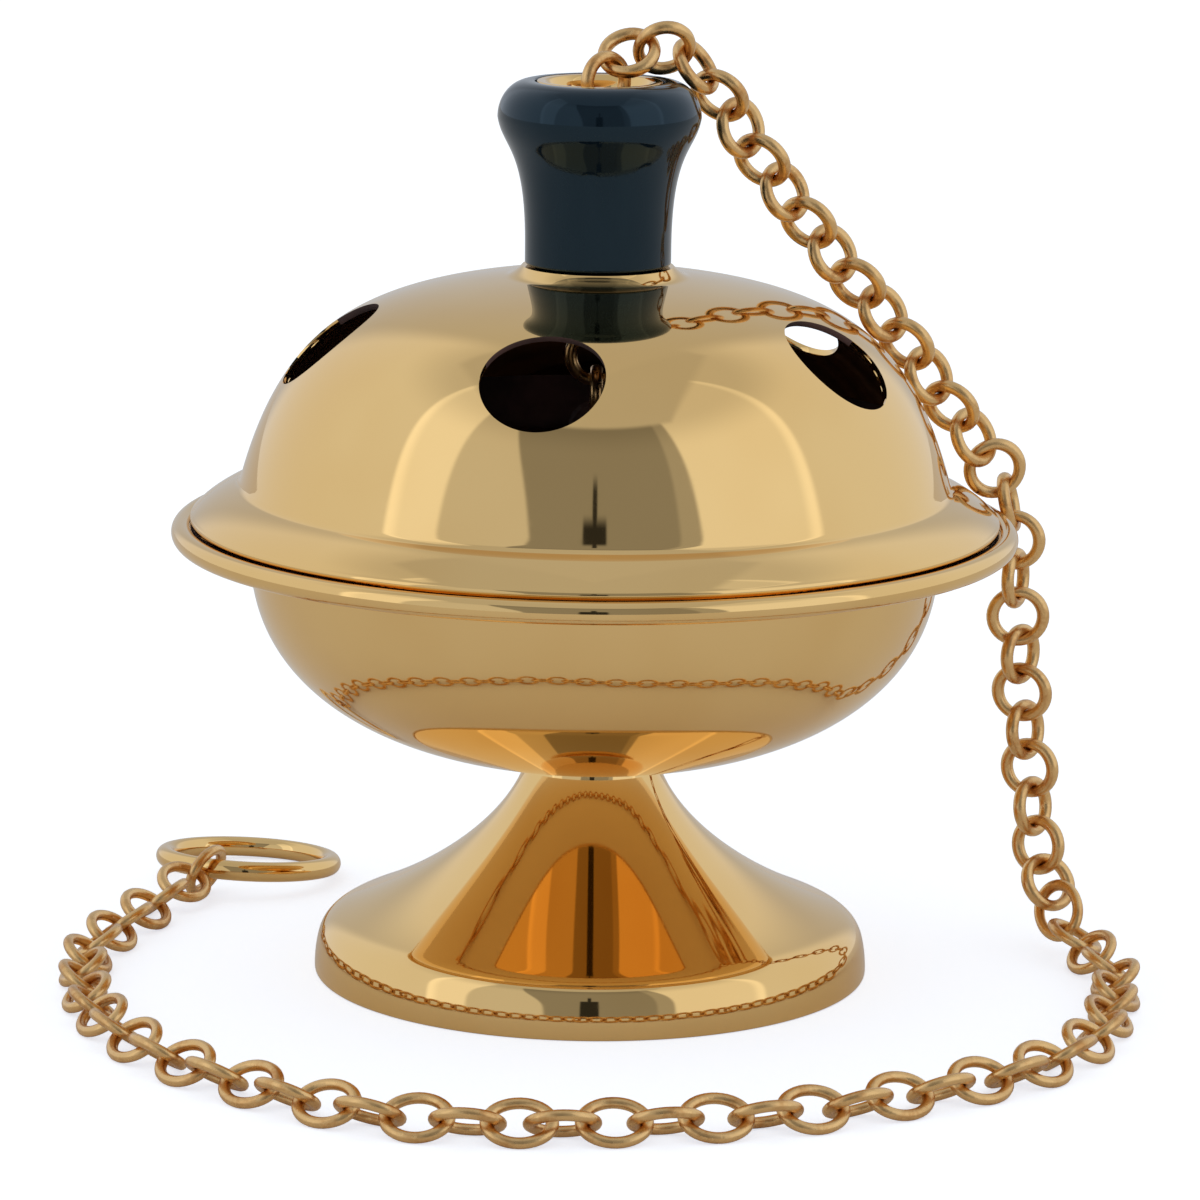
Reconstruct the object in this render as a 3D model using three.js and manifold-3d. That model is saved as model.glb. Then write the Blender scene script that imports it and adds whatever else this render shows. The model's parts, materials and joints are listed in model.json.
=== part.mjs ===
// A hand censer of spun brass on a single chain.
// A hollow foot carries a round bowl with a rolled rim. A pierced dome lid with a dark heat-proof
// knob sits on the rim. The chain starts at a bridge in the bowl, runs up through the knob, falls
// over its lip and down the side, and lies round the foot to a finger ring.
// Millimetres, +Z up, with the origin on the surface it stands on, under the middle of the foot.
import * as THREE from "three";
import { mergeVertices } from "three/addons/utils/BufferGeometryUtils.js";
import Module from "manifold-3d";

const wasm = await Module();
wasm.setup();

// Fineness and gaps
const SHELL_SIDES = 32;
const KNOB_SIDES = 24;
const TURNED_SIDES = 20;
const SMALL_SIDES = 10;
const OVERCUT = 3;
const SEAT_GAP = 0.3;
const BORE_GAP = 0.3;
const HOOK_GAP = 0.5;
const CURVE_STEP = 0.002;
const HALVINGS = 20;
const SLOPE_STEP = 0.01;

// Foot
const footRadius = 50.35;
const footHeight = 39.35;
const footWall = 1.3;
const footPlate = 1.6;
const hemWidth = 3.0;
const hemThickness = 1.2;
const skirtLip = 0.2;
const skirtLipHeight = 0.9;
const skirtBow = 6.6;
const skirtRise = 12.75;
const skirtTurn = 42.5;
const shoulderRadius = 48.2;
const shoulderHeight = 9.85;
const trumpetLower = [30.0, 16.75];
const trumpetUpper = [15.85, 27.45];
const neckRadius = 12.25;
const neckHeight = 1.2;

// Centre screw that joins the foot and the bowl
const screwRadius = 2.5;
const screwHeadRadius = 5.0;
const screwHeadHeight = 1.6;
const screwHeadEdge = 0.5;
const screwTail = 0.8;
const footWasherRadius = 6.0;
const footWasherThickness = 1.0;
const footNutFlats = 8.0;
const footNutHeight = 3.5;

// Bowl
const bowlRadius = 62.2;
const bowlDepth = 39.55;
const bowlPower = 2.34;
const bowlWall = 1.4;
const bowlSeatRadius = 9.0;
const ledgeFillet = 1.0;
const ledgeWidth = 9.1;

// Rolled rim of the bowl
const rimTube = 2.0;
const rimRise = 0.6;

// Lid
const lidWall = 1.2;
const lidSeatInset = 1.4;
const lidEdgeHeight = 1.6;
const lidEdgeRound = 0.5;
const flangeWidth = 9.2;
const flangeRise = 5.6;
const flangeFillet = 1.3;
const domeRise = 36.3;
const domeStart = 8.4;
const domeSideLean = 7.5;
const domeSidePull = 26.8;
const domeTopPull = 26.2;
const domeTopDrop = 3.0;
const collarRadius = 16.4;
const collarStep = 0.5;
const collarRise = 1.9;
const collarPlate = 1.6;

// Vent holes in the lid
const ventCount = 5;
const ventRadius = 11.0;
const ventShare = 0.465;
const ventTurn = -101;

// Knob and the brass tube that lines it
const knobRadius = 13.1;
const knobBulge = 18.2;
const knobHeight = 32.8;
const knobCrown = 6.5;
const knobCrownRadius = 12.7;
const knobStraight = 3.2;
const knobLowerPull = 17.7;
const knobShoulder = 0.9;
const knobUpperPull = 5.7;
const tubeRadius = 7.6;
const tubeWall = 1.0;
const tubeTail = 1.6;
const mouthRadius = 11.25;
const mouthEdge = 0.5;
const mouthDepth = 7.7;
const tubeWasherRadius = 11.0;
const tubeWasherThickness = 1.2;
const tubeNutFlats = 20.0;
const tubeNutHeight = 4.0;

// Bridge that the chain hangs the bowl from
const armCount = 3;
const armTurn = 30;
const armWidth = 7.0;
const armThickness = 1.2;
const hubRadius = 8.0;
const hubRise = 12.0;
const armBend = 16.0;
const armFootLength = 8.8;
const armInset = 1.5;
const rivetRadius = 1.0;
const rivetHeadRadius = 1.7;
const rivetHeadHeight = 0.8;
const rivetInset = 2.0;

// Eye bolt on the bridge
const eyeRadius = 3.9;
const eyeWire = 1.2;
const eyeShank = 1.5;
const eyeCollarRadius = 2.6;
const eyeCollarHeight = 1.0;
const eyeTail = 0.8;
const eyeNutFlats = 6.0;
const eyeNutHeight = 2.4;

// Removable charcoal pan
const panRadius = 26.0;
const panFootRadius = 24.0;
const panHeight = 16.0;
const panWall = 1.0;
const panLip = 1.0;

// Chain and finger ring
const linkWire = 2.05;
const hangPitch = 7.3;
const hangWidth = 11.4;
const floorPitch = 8.6;
const floorWidth = 10.4;
const innerSwing = 90;
const linkSides = 4;
const linkSteps = 8;
const linkSection = 1.28;
const runSlack = 1.5;
const ringRadius = 16.0;
const ringWire = 3.8;
const ringLift = 3.4;
const ringSlack = 1.6;
const ringSides = 6;
const ringSteps = 20;

// Finishes
const polishedBrass = { color: 0xd7b97d, roughness: 0.12, metalness: 1 };
const innerBrass = { color: 0x6a4a2a, roughness: 0.5, metalness: 1 };
const chainBrass = { color: 0xaf783c, roughness: 0.35, metalness: 1 };
const knobBlack = { color: 0x1e2832, roughness: 0.12, metalness: 0 };
const steel = { color: 0xb4b4b0, roughness: 0.3, metalness: 1 };

// Where the chain lies outside the knob: x, y, z of its middle line, and the roll of its even and
// its odd links about that line in degrees.
const chainRoute = [
  [0, 0, 151.8, -45, 46],
  [0, 0.9, 159.1, -38, 46],
  [2.1, 2.9, 165.7, -32, 54],
  [8.1, 5.2, 169.2, -28, 61],
  [14.7, 7.7, 167.1, -25, 74],
  [19.6, 9.9, 162.2, -14, 87],
  [23.5, 11.7, 156.3, -2, 88],
  [27.4, 13.2, 150.2, -4, 88],
  [31.5, 14.3, 144.3, -5, 88],
  [35.9, 15.3, 138.5, -5, 88],
  [40.4, 16.1, 132.8, -5, 88],
  [44.9, 16.9, 127.1, -6, 87],
  [49.8, 17.6, 121.6, -6, 88],
  [54.5, 18.3, 116.1, -5, 88],
  [58.7, 19, 110.1, -4, 88],
  [63, 19.8, 104.2, -6, 87],
  [67.2, 20.7, 98.4, -8, 66],
  [71.6, 21.7, 92.6, -20, 42],
  [75.4, 22.9, 86.5, -32, 54],
  [77.2, 23.8, 79.4, -26, 63],
  [77.7, 24.2, 72.1, -19, 57],
  [78.1, 24.6, 64.8, -12, 50],
  [79, 24.9, 57.6, -5, 62],
  [79.4, 25.3, 50.3, -6, 72],
  [80, 25.7, 43, -7, 75],
  [81.1, 25.8, 35.8, -7, 78],
  [82, 25.5, 28.6, -7, 84],
  [82.5, 24.4, 21.4, 3, 89],
  [84.3, 22.2, 14.6, 13, 83],
  [86.2, 18.8, 8.5, 8, 78],
  [88.3, 12.8, 4.9, 2, 72],
  [90.6, 5.6, 3.9, -3, 67],
  [92.8, -2, 3.8, -9, 61],
  [94.6, -9.5, 3.8, -9, 61],
  [94.9, -20, 3.8, -9, 61],
  [93.1, -32, 3.8, -9, 61],
  [91.2, -44, 3.8, -9, 61],
  [87.8, -55.6, 3.8, -9, 61],
  [79.1, -71.2, 3.8, -9, 61],
  [67.8, -82.2, 3.8, -9, 61],
  [54.2, -91.8, 3.8, -9, 61],
  [39.3, -101, 3.8, -9, 61],
  [22.6, -107, 3.8, -9, 61],
  [5.3, -110.6, 3.8, -9, 61],
  [-12.1, -111.7, 3.8, -9, 61],
  [-28.6, -109.2, 3.8, -9, 61],
  [-42.5, -102.2, 3.8, -9, 61],
  [-55.4, -91.6, 3.8, -9, 61],
  [-66.9, -80.2, 3.8, -9, 61],
  [-77.2, -66.2, 3.8, -9, 61],
  [-84.8, -50, 3.8, -9, 61],
  [-89.6, -32, 3.8, -9, 61],
  [-91.6, -14, 3.8, -9, 61],
  [-90.4, 1, 3.8, -9, 61],
  [-86.9, 14.5, 3.8, -9, 61],
  [-83, 27, 3.8, -9, 61],
  [-79.4, 37, 4.1, -23, 57],
  [-75.8, 45.5, 5, -45, 42],
  [-71.6, 54, 5.6, -49, 42],
  [-67.4, 62, 6, -49, 42],
];
const chainRuns = [
  { name: "chain_over_lid", links: 29, pitch: hangPitch, width: hangWidth },
  { name: "chain_floor_lead", links: 12, pitch: floorPitch, width: floorWidth },
  { name: "chain_floor_right", links: 11, pitch: floorPitch, width: floorWidth },
  { name: "chain_floor_front", links: 13, pitch: floorPitch, width: floorWidth },
  { name: "chain_floor_left", links: 12, pitch: floorPitch, width: floorWidth },
];

// Heights and places that follow from the sizes
const bowlBottom = footHeight + SEAT_GAP;
const bowlFloor = bowlBottom + bowlWall;
const ledgeRadius = bowlRadius + ledgeFillet;
const rimRadius = ledgeRadius + ledgeWidth + rimTube;
const lidEdgeRadius = rimRadius - lidSeatInset;
const domeRadius = lidEdgeRadius - flangeWidth;
const collarTopRadius = knobRadius + collarStep;
const armTip = rimRadius - rimTube - armInset;
const armFoot = armTip - armFootLength;
const rivetPlace = armTip - rivetInset;
const ledgeBottom = bowlBottom + bowlDepth + ledgeFillet;
const ledgeTop = ledgeBottom + bowlWall;
const rimHeight = ledgeTop + rimRise - bowlWall / 2;
const lidBottom = rimHeight + Math.sqrt(rimTube ** 2 - lidSeatInset ** 2) + SEAT_GAP;
const lidEdgeTop = lidBottom + lidEdgeHeight;
const domeBase = lidBottom + domeStart;
const collarBase = domeBase + domeRise;
const lidTop = collarBase + collarRise;
const lidUnder = lidTop - collarPlate;
const knobBottom = lidTop + SEAT_GAP;
const knobTop = knobBottom + knobHeight;
const tubeWasherTop = lidUnder - SEAT_GAP;
const tubeNutTop = tubeWasherTop - tubeWasherThickness - SEAT_GAP;
const tubeBottom = tubeNutTop - tubeNutHeight - tubeTail;
const footPlateUnder = footHeight - footPlate;
const footWasherTop = footPlateUnder - SEAT_GAP;
const footNutTop = footWasherTop - footWasherThickness - SEAT_GAP;
const footNutBottom = footNutTop - footNutHeight;
const armFootBottom = ledgeTop + SEAT_GAP;
const armFootTop = armFootBottom + armThickness;
const hubBottom = armFootBottom + hubRise;
const hubTop = hubBottom + armThickness;
const eyeBase = hubTop + SEAT_GAP;
const eyeMiddle = eyeBase + eyeCollarHeight + eyeRadius;
const eyeNutTop = hubBottom - SEAT_GAP;

/** A closed solid from a geometry: shared corners merged, empty triangles dropped, faces outwards. */
function solid(geometry) {
  const bare = geometry.clone();
  bare.deleteAttribute("normal");
  bare.deleteAttribute("uv");
  const merged = mergeVertices(bare, 1e-4);
  const corners = merged.attributes.position.array;
  const faces = [];
  const all = merged.index.array;
  for (let i = 0; i < all.length; i += 3) {
    const [a, b, c] = [all[i], all[i + 1], all[i + 2]];
    if (a !== b && b !== c && c !== a) faces.push(a, b, c);
  }
  const at = (i) => new THREE.Vector3().fromArray(corners, 3 * i);
  let volume = 0;
  for (let i = 0; i < faces.length; i += 3) {
    volume += at(faces[i]).dot(at(faces[i + 1]).cross(at(faces[i + 2])));
  }
  if (volume < 0) faces.reverse();
  const mesh = new wasm.Mesh({
    numProp: 3,
    vertProperties: Float32Array.from(corners),
    triVerts: Uint32Array.from(faces),
  });
  mesh.merge();
  return new wasm.Manifold(mesh);
}

/** The geometry of a solid. */
function geometryOf(shape) {
  const mesh = shape.getMesh();
  const geometry = new THREE.BufferGeometry();
  geometry.setAttribute("position", new THREE.BufferAttribute(Float32Array.from(mesh.vertProperties), 3));
  geometry.setIndex(new THREE.BufferAttribute(Uint32Array.from(mesh.triVerts), 1));
  geometry.computeVertexNormals();
  return geometry;
}

/** A solid turned about Z from a closed outline of [radius, height] points. */
function turned(outline, sides = TURNED_SIDES) {
  const points = [...outline, outline[0]].map(([r, z]) => new THREE.Vector2(r, z));
  return solid(new THREE.LatheGeometry(points, sides).rotateX(Math.PI / 2));
}

/** A round bar along Z between two heights. */
function bar(radius, low, high, sides = TURNED_SIDES) {
  const geometry = new THREE.CylinderGeometry(radius, radius, high - low, sides);
  return solid(geometry.rotateX(Math.PI / 2).translate(0, 0, (low + high) / 2));
}

/** A flat washer. */
function washer(outer, inner, low, high) {
  return turned([[inner, low], [outer, low], [outer, high], [inner, high]]);
}

/** A hexagonal nut with a plain bore. */
function hexNut(flats, bore, low, high) {
  const corner = flats / 2 / Math.cos(Math.PI / 6);
  return bar(corner, low, high, 6).subtract(bar(bore, low - OVERCUT, high + OVERCUT));
}

/** The points of an outline moved to its left by a wall's thickness. */
function wallInside(points, wall) {
  return points.map((point, i) => {
    const [r0, z0] = points[Math.max(i - 1, 0)];
    const [r1, z1] = points[Math.min(i + 1, points.length - 1)];
    const length = Math.hypot(r1 - r0, z1 - z0);
    return [point[0] - (wall * (z1 - z0)) / length, point[1] + (wall * (r1 - r0)) / length];
  });
}

/** Points along an arc about a middle, from one angle to another in degrees, with two radii. */
function arc(middle, radii, from, to, steps) {
  return Array.from({ length: steps + 1 }, (_, i) => {
    const angle = THREE.MathUtils.degToRad(from + ((to - from) * i) / steps);
    return [middle[0] + radii[0] * Math.cos(angle), middle[1] + radii[1] * Math.sin(angle)];
  });
}

/** A smooth curve in an outline from its two ends and the two points that pull it. */
function pulled(start, startPull, endPull, end) {
  return new THREE.CubicBezierCurve(...[start, startPull, endPull, end].map(([r, z]) => new THREE.Vector2(r, z)));
}

/** The foot: a spun trumpet with a turned-in hem, open underneath. */
function makeFoot() {
  const shoulder = [shoulderRadius, shoulderHeight];
  const neck = [neckRadius, footHeight - neckHeight];
  const trumpet = pulled(shoulder, trumpetLower, trumpetUpper, neck).getPoints(9).map((p) => [p.x, p.y]);
  const skirt = arc([footRadius - skirtBow, skirtLipHeight], [skirtBow, skirtRise], 0, skirtTurn, 3);
  const outside = [[footRadius - skirtLip, 0], ...skirt, ...trumpet];
  const inside = wallInside(outside, footWall).slice(1, -1);
  const hemInner = footRadius - hemWidth;
  const profile = [
    ...outside,
    [neckRadius, footHeight],
    [screwRadius + BORE_GAP, footHeight],
    [screwRadius + BORE_GAP, footPlateUnder],
    [neckRadius - footWall, footPlateUnder],
    ...inside.reverse(),
    [footRadius - footWall, hemThickness],
    [hemInner, hemThickness],
    [hemInner, 0],
  ];
  return turned(profile, SHELL_SIDES);
}

/** The height of the outside of the bowl at a radius. */
function bowlOutsideAt(radius) {
  return bowlBottom + bowlDepth * (1 - (1 - (radius / bowlRadius) ** bowlPower) ** (1 / bowlPower));
}

/** The outside of the bowl from its seat to the foot of its ledge. */
function bowlOutside() {
  const start = Math.asin((bowlSeatRadius / bowlRadius) ** (bowlPower / 2));
  const steps = 10;
  return Array.from({ length: steps + 1 }, (_, i) => {
    const angle = start + ((Math.PI / 2 - start) * i) / steps;
    const radius = bowlRadius * Math.sin(angle) ** (2 / bowlPower);
    return [radius, bowlOutsideAt(radius)];
  });
}

/** The height of the inside of the bowl at a radius. */
function bowlInsideAt(radius) {
  const slope = (bowlOutsideAt(radius + SLOPE_STEP) - bowlOutsideAt(radius)) / SLOPE_STEP;
  return bowlOutsideAt(radius) + bowlWall * Math.hypot(1, slope);
}

/** The bowl: a round dish with a flat ledge and a rolled rim. */
function makeBowl() {
  const outside = [...bowlOutside(), [ledgeRadius, ledgeBottom]];
  const inside = wallInside(outside, bowlWall).slice(1, -1).reverse();
  const rim = arc([rimRadius, rimHeight], [rimTube, rimTube], -150, 150, 8);
  const hole = screwRadius + BORE_GAP;
  const profile = [
    [hole, bowlBottom],
    ...outside,
    [rimRadius - rimTube, ledgeBottom],
    ...rim,
    [rimRadius - rimTube, ledgeTop],
    [ledgeRadius - bowlWall, ledgeTop],
    ...inside,
    [bowlSeatRadius, bowlFloor],
    [hole, bowlFloor],
  ];
  let bowl = turned(profile, SHELL_SIDES);
  for (const angle of armAngles()) {
    const rivetHole = bar(rivetRadius + BORE_GAP, ledgeBottom - OVERCUT, ledgeTop + OVERCUT, SMALL_SIDES);
    bowl = bowl.subtract(rivetHole.translate(outAlong(rivetPlace, angle)));
  }
  return bowl;
}

/** The directions of the bridge's arms, in degrees. */
function armAngles() {
  return Array.from({ length: armCount }, (_, i) => armTurn + (360 * i) / armCount);
}

/** A point on the level plane at a radius and an angle in degrees. */
function outAlong(radius, degrees) {
  const angle = THREE.MathUtils.degToRad(degrees);
  return [radius * Math.cos(angle), radius * Math.sin(angle), 0];
}

/** The curve of the dome's outside from the top of its flange to the foot of its collar. */
const domeCurve = pulled(
  [domeRadius, domeBase],
  [domeRadius - domeSideLean, domeBase + domeSidePull],
  [collarRadius + domeTopPull, collarBase - domeTopDrop],
  [collarRadius, collarBase],
);

/** The outside of the lid from its edge to the top of its collar. */
function lidOutside() {
  const flangeTop = lidEdgeTop + flangeRise - flangeFillet;
  return [
    [lidEdgeRadius, lidBottom],
    [lidEdgeRadius, lidEdgeTop - lidEdgeRound],
    [lidEdgeRadius - lidEdgeRound, lidEdgeTop],
    [domeRadius + 2 * flangeFillet, flangeTop],
    [domeRadius + flangeFillet / 2, flangeTop + (2 / 3) * flangeFillet],
    ...domeCurve.getPoints(10).map((p) => [p.x, p.y]),
    [collarTopRadius, lidTop],
  ];
}

/** A vent's cutter: a bar square to the dome at the vent's middle. */
function ventCutter(degrees) {
  const place = domeCurve.getPoint(ventShare);
  const along = domeCurve.getTangent(ventShare);
  const tilt = THREE.MathUtils.radToDeg(Math.atan2(along.y, -along.x));
  const cutter = bar(ventRadius, -OVERCUT - lidWall, OVERCUT + lidWall, TURNED_SIDES);
  return cutter
    .rotate([0, tilt, 0])
    .translate([place.x, 0, place.y - lidWall / 2])
    .rotate([0, 0, degrees]);
}

/** The lid: a pierced dome with an out-turned flange and a low collar under the knob. */
function makeLid() {
  const outside = lidOutside();
  const inside = wallInside(outside, lidWall).slice(2, -1).reverse();
  const hole = tubeRadius + BORE_GAP;
  const profile = [
    ...outside,
    [hole, lidTop],
    [hole, lidUnder],
    [collarTopRadius - lidWall, lidUnder],
    ...inside,
    [lidEdgeRadius - lidWall, lidBottom],
  ];
  let lid = turned(profile, SHELL_SIDES);
  for (let i = 0; i < ventCount; i++) lid = lid.subtract(ventCutter(ventTurn + (360 * i) / ventCount));
  return lid;
}

/** The flare at the mouth of the tube, at a distance outside its inner wall. */
function mouthFlare(off) {
  const bore = tubeRadius - tubeWall;
  const reach = mouthRadius - tubeRadius;
  const middle = [mouthRadius, knobTop - mouthEdge - mouthDepth];
  const curve = arc(middle, [-reach, mouthDepth], 0, 90, 5);
  return wallInside([[tubeRadius, knobTop - 2 * mouthDepth], ...curve], tubeWall - off)
    .slice(1)
    .map(([r, z]) => [Math.max(r, bore + off), Math.min(z, knobTop)]);
}

/** The knob: a turned handle with a waist, a swelling top and a mouth. */
function makeKnob() {
  const crownFoot = knobTop - knobCrown;
  const flare = pulled(
    [knobRadius, knobBottom + knobStraight],
    [knobRadius, knobBottom + knobStraight + knobLowerPull],
    [knobBulge - knobShoulder, crownFoot - knobUpperPull],
    [knobBulge, crownFoot],
  );
  const crown = arc([knobCrownRadius, crownFoot], [knobBulge - knobCrownRadius, knobCrown], 0, 90, 4);
  const socket = mouthFlare(tubeWall + BORE_GAP).reverse();
  const bore = tubeRadius + BORE_GAP;
  return turned([
    [bore, knobBottom],
    [knobRadius, knobBottom],
    ...flare.getPoints(6).map((p) => [p.x, p.y]),
    ...crown.slice(1),
    [mouthRadius + BORE_GAP, knobTop],
    [mouthRadius + BORE_GAP, knobTop - mouthEdge - BORE_GAP],
    ...socket.filter(([, z]) => z < knobTop - mouthEdge - BORE_GAP),
  ], KNOB_SIDES);
}

/** The brass tube through the knob, flared at its mouth and threaded below the lid. */
function makeTube() {
  const bore = tubeRadius - tubeWall;
  return turned([
    [bore, tubeBottom],
    [tubeRadius, tubeBottom],
    ...mouthFlare(tubeWall),
    ...mouthFlare(0).reverse(),
  ]);
}

/** The screw through the bottom of the bowl and the top of the foot. */
function makeCentreScrew() {
  const headBottom = bowlFloor + SEAT_GAP;
  const crown = [screwHeadRadius, screwHeadHeight - screwHeadEdge];
  const head = [[screwHeadRadius, headBottom], ...arc([0, headBottom + screwHeadEdge], crown, 0, 90, 3)];
  const tail = footNutBottom - screwTail;
  return turned([[0, tail], [screwRadius, tail], [screwRadius, headBottom], ...head]);
}

/** The bridge: three straps from the bowl's ledge up to a hub in the middle. */
function makeBridge() {
  const under = [[0, hubBottom], [armBend, hubBottom], [armFoot, armFootBottom]];
  const over = [[armFoot, armFootTop], [armBend, hubTop], [0, hubTop]];
  const side = [...under, [armTip, armFootBottom], [armTip, armFootTop], ...over];
  const strap = new THREE.Shape(side.map(([r, z]) => new THREE.Vector2(r, z)));
  let bridge = bar(hubRadius, hubBottom, hubTop);
  for (const degrees of armAngles()) {
    const geometry = new THREE.ExtrudeGeometry(strap, { depth: armWidth, bevelEnabled: false });
    geometry.translate(0, 0, -armWidth / 2).rotateX(Math.PI / 2);
    geometry.rotateZ(THREE.MathUtils.degToRad(degrees));
    const hole = bar(rivetRadius + BORE_GAP, armFootBottom - OVERCUT, armFootTop + OVERCUT, SMALL_SIDES);
    bridge = bridge.add(solid(geometry)).subtract(hole.translate(outAlong(rivetPlace, degrees)));
  }
  return bridge.subtract(bar(eyeShank + BORE_GAP, hubBottom - OVERCUT, hubTop + OVERCUT, SMALL_SIDES));
}

/** One rivet through an arm of the bridge and the bowl's ledge. */
function makeRivet(degrees) {
  const top = armFootTop + SEAT_GAP;
  const bottom = ledgeBottom - SEAT_GAP;
  const head = arc([0, top], [rivetHeadRadius, rivetHeadHeight], 0, 90, 3);
  const upset = arc([0, bottom], [rivetHeadRadius, rivetHeadHeight], -90, 0, 3);
  const profile = [...upset, [rivetRadius, bottom], [rivetRadius, top], ...head];
  return turned(profile, SMALL_SIDES).translate(outAlong(rivetPlace, degrees));
}

/** The eye bolt that stands on the bridge's hub. */
function makeEye() {
  const tail = eyeNutTop - eyeNutHeight - eyeTail;
  const shank = turned([
    [0, tail],
    [eyeShank, tail],
    [eyeShank, eyeBase],
    [eyeCollarRadius, eyeBase],
    [eyeCollarRadius, eyeBase + eyeCollarHeight],
    [0, eyeBase + eyeCollarHeight],
  ], SMALL_SIDES);
  const loop = new THREE.TorusGeometry(eyeRadius, eyeWire, ringSides, ringSteps).rotateX(Math.PI / 2);
  return shank.add(solid(loop.translate(0, 0, eyeMiddle)));
}

/** The charcoal pan: a straight-sided cup with a turned lip, resting in the bowl. */
function makePan() {
  const bottom = bowlInsideAt(panFootRadius) + SEAT_GAP;
  const top = bottom + panHeight;
  return turned([
    [0, bottom],
    [panFootRadius, bottom],
    [panRadius, top - panLip],
    [panRadius + panLip, top - panLip],
    [panRadius + panLip, top],
    [panRadius - panWall, top],
    [panFootRadius - panWall, bottom + panWall],
    [0, bottom + panWall],
  ], KNOB_SIDES);
}

/** One link as an oval ring in the XZ plane, with its length along X and its width along Z. */
function linkRing(pitch, width) {
  const across = (width - linkWire) / 2;
  const along = (pitch + linkWire) / 2;
  const ring = new THREE.TorusGeometry(across, linkSection, linkSides, linkSteps);
  ring.scale(along / across, 1, 1).rotateX(Math.PI / 2);
  return solid(ring);
}

/** A link between the two points where its neighbours touch it, with its width along a direction. */
function linkBetween(link, start, end, across) {
  const along = end.clone().sub(start).normalize();
  const width = across.clone().addScaledVector(along, -across.dot(along)).normalize();
  const face = new THREE.Vector3().crossVectors(width, along);
  const middle = start.clone().add(end).multiplyScalar(0.5);
  return link.transform(new THREE.Matrix4().makeBasis(along, face, width).setPosition(middle).elements);
}

/** The links joined into one run. */
function joinLinks(links) {
  return links.reduce((run, link) => run.add(link));
}

/** The chain from the eye up into the knob. */
function makeInnerChain() {
  const hook = eyeMiddle + eyeRadius - eyeWire - HOOK_GAP - linkSection + linkWire / 2;
  const top = chainRoute[0][2] - 2 * linkWire - SEAT_GAP;
  const count = Math.floor((top - hook) / hangPitch);
  const link = linkRing(hangPitch, hangWidth);
  const links = [];
  for (let i = 0; i < count; i++) {
    const start = new THREE.Vector3(0, 0, hook + i * hangPitch);
    const end = start.clone().setZ(start.z + hangPitch);
    const angle = THREE.MathUtils.degToRad((i % 2) * innerSwing);
    links.push(linkBetween(link, start, end, new THREE.Vector3(Math.sin(angle), Math.cos(angle), 0)));
  }
  return joinLinks(links);
}

/** The roll of a link at a share of the route, in degrees, from one column of the route. */
function rollAt(share, column) {
  const place = share * (chainRoute.length - 1);
  const index = Math.min(Math.floor(place), chainRoute.length - 2);
  const [before, after] = [chainRoute[index][column], chainRoute[index + 1][column]];
  return before + (after - before) * (place - index);
}

/** The point of a curve that lies one straight step on from another point of it. */
function stepAlong(curve, share, step) {
  const from = curve.getPoint(share);
  const isShort = (place) => curve.getPoint(place).distanceTo(from) < step;
  let far = share;
  while (far < 1 && isShort(far)) far += CURVE_STEP;
  let near = share;
  for (let i = 0; i < HALVINGS; i++) {
    const middle = (near + far) / 2;
    if (isShort(middle)) near = middle;
    else far = middle;
  }
  return far;
}

/** The chain outside the knob: its runs, and the place where the ring hangs in its last link. */
function layChain() {
  const points = chainRoute.map(([x, y, z]) => new THREE.Vector3(x, y, z));
  const curve = new THREE.CatmullRomCurve3(points, false, "centripetal");
  let share = 0;
  let across = new THREE.Vector3(1, 0, 0);
  let before = new THREE.Vector3(0, 0, 1);
  let even = true;
  let tip = null;
  const runs = chainRuns.map(({ name, links, pitch, width }) => {
    const link = linkRing(pitch, width);
    const rings = [];
    for (let i = 0; i < links; i++) {
      const start = curve.getPoint(share);
      const next = stepAlong(curve, share, pitch);
      const heading = curve.getPoint(next).sub(start).normalize();
      const end = start.clone().addScaledVector(heading, pitch);
      across.applyQuaternion(new THREE.Quaternion().setFromUnitVectors(before, heading));
      const roll = THREE.MathUtils.degToRad(rollAt(share, even ? 3 : 4));
      rings.push(linkBetween(link, start, end, across.clone().applyAxisAngle(heading, roll)));
      before = heading;
      even = !even;
      tip = { point: end, heading };
      share = i < links - 1 ? next : stepAlong(curve, share, pitch - runSlack);
    }
    return { name, shape: joinLinks(rings) };
  });
  return { runs, tip };
}

/** The finger ring: it hangs in the last link and rests on the ground on its far side. */
function makeRing(tip) {
  const ring = new THREE.TorusGeometry(ringRadius, ringWire / 2, ringSides, ringSteps);
  const heading = tip.heading.clone().setZ(0).normalize();
  const turn = Math.atan2(heading.y, heading.x);
  const back = ringWire / 2 + ringSlack + linkSection - linkWire / 2;
  const near = tip.point.clone().addScaledVector(heading, -back);
  const tilt = Math.asin(ringLift / (2 * ringRadius));
  ring.translate(ringRadius, 0, 0).rotateY(tilt).rotateZ(turn);
  return solid(ring.translate(near.x, near.y, ringWire / 2 + ringLift));
}

/** A named mesh of a solid in a finish. */
function piece(name, shape, finish) {
  const mesh = new THREE.Mesh(geometryOf(shape), new THREE.MeshStandardMaterial(finish));
  mesh.name = name;
  return mesh;
}

const censer = new THREE.Group();

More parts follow.
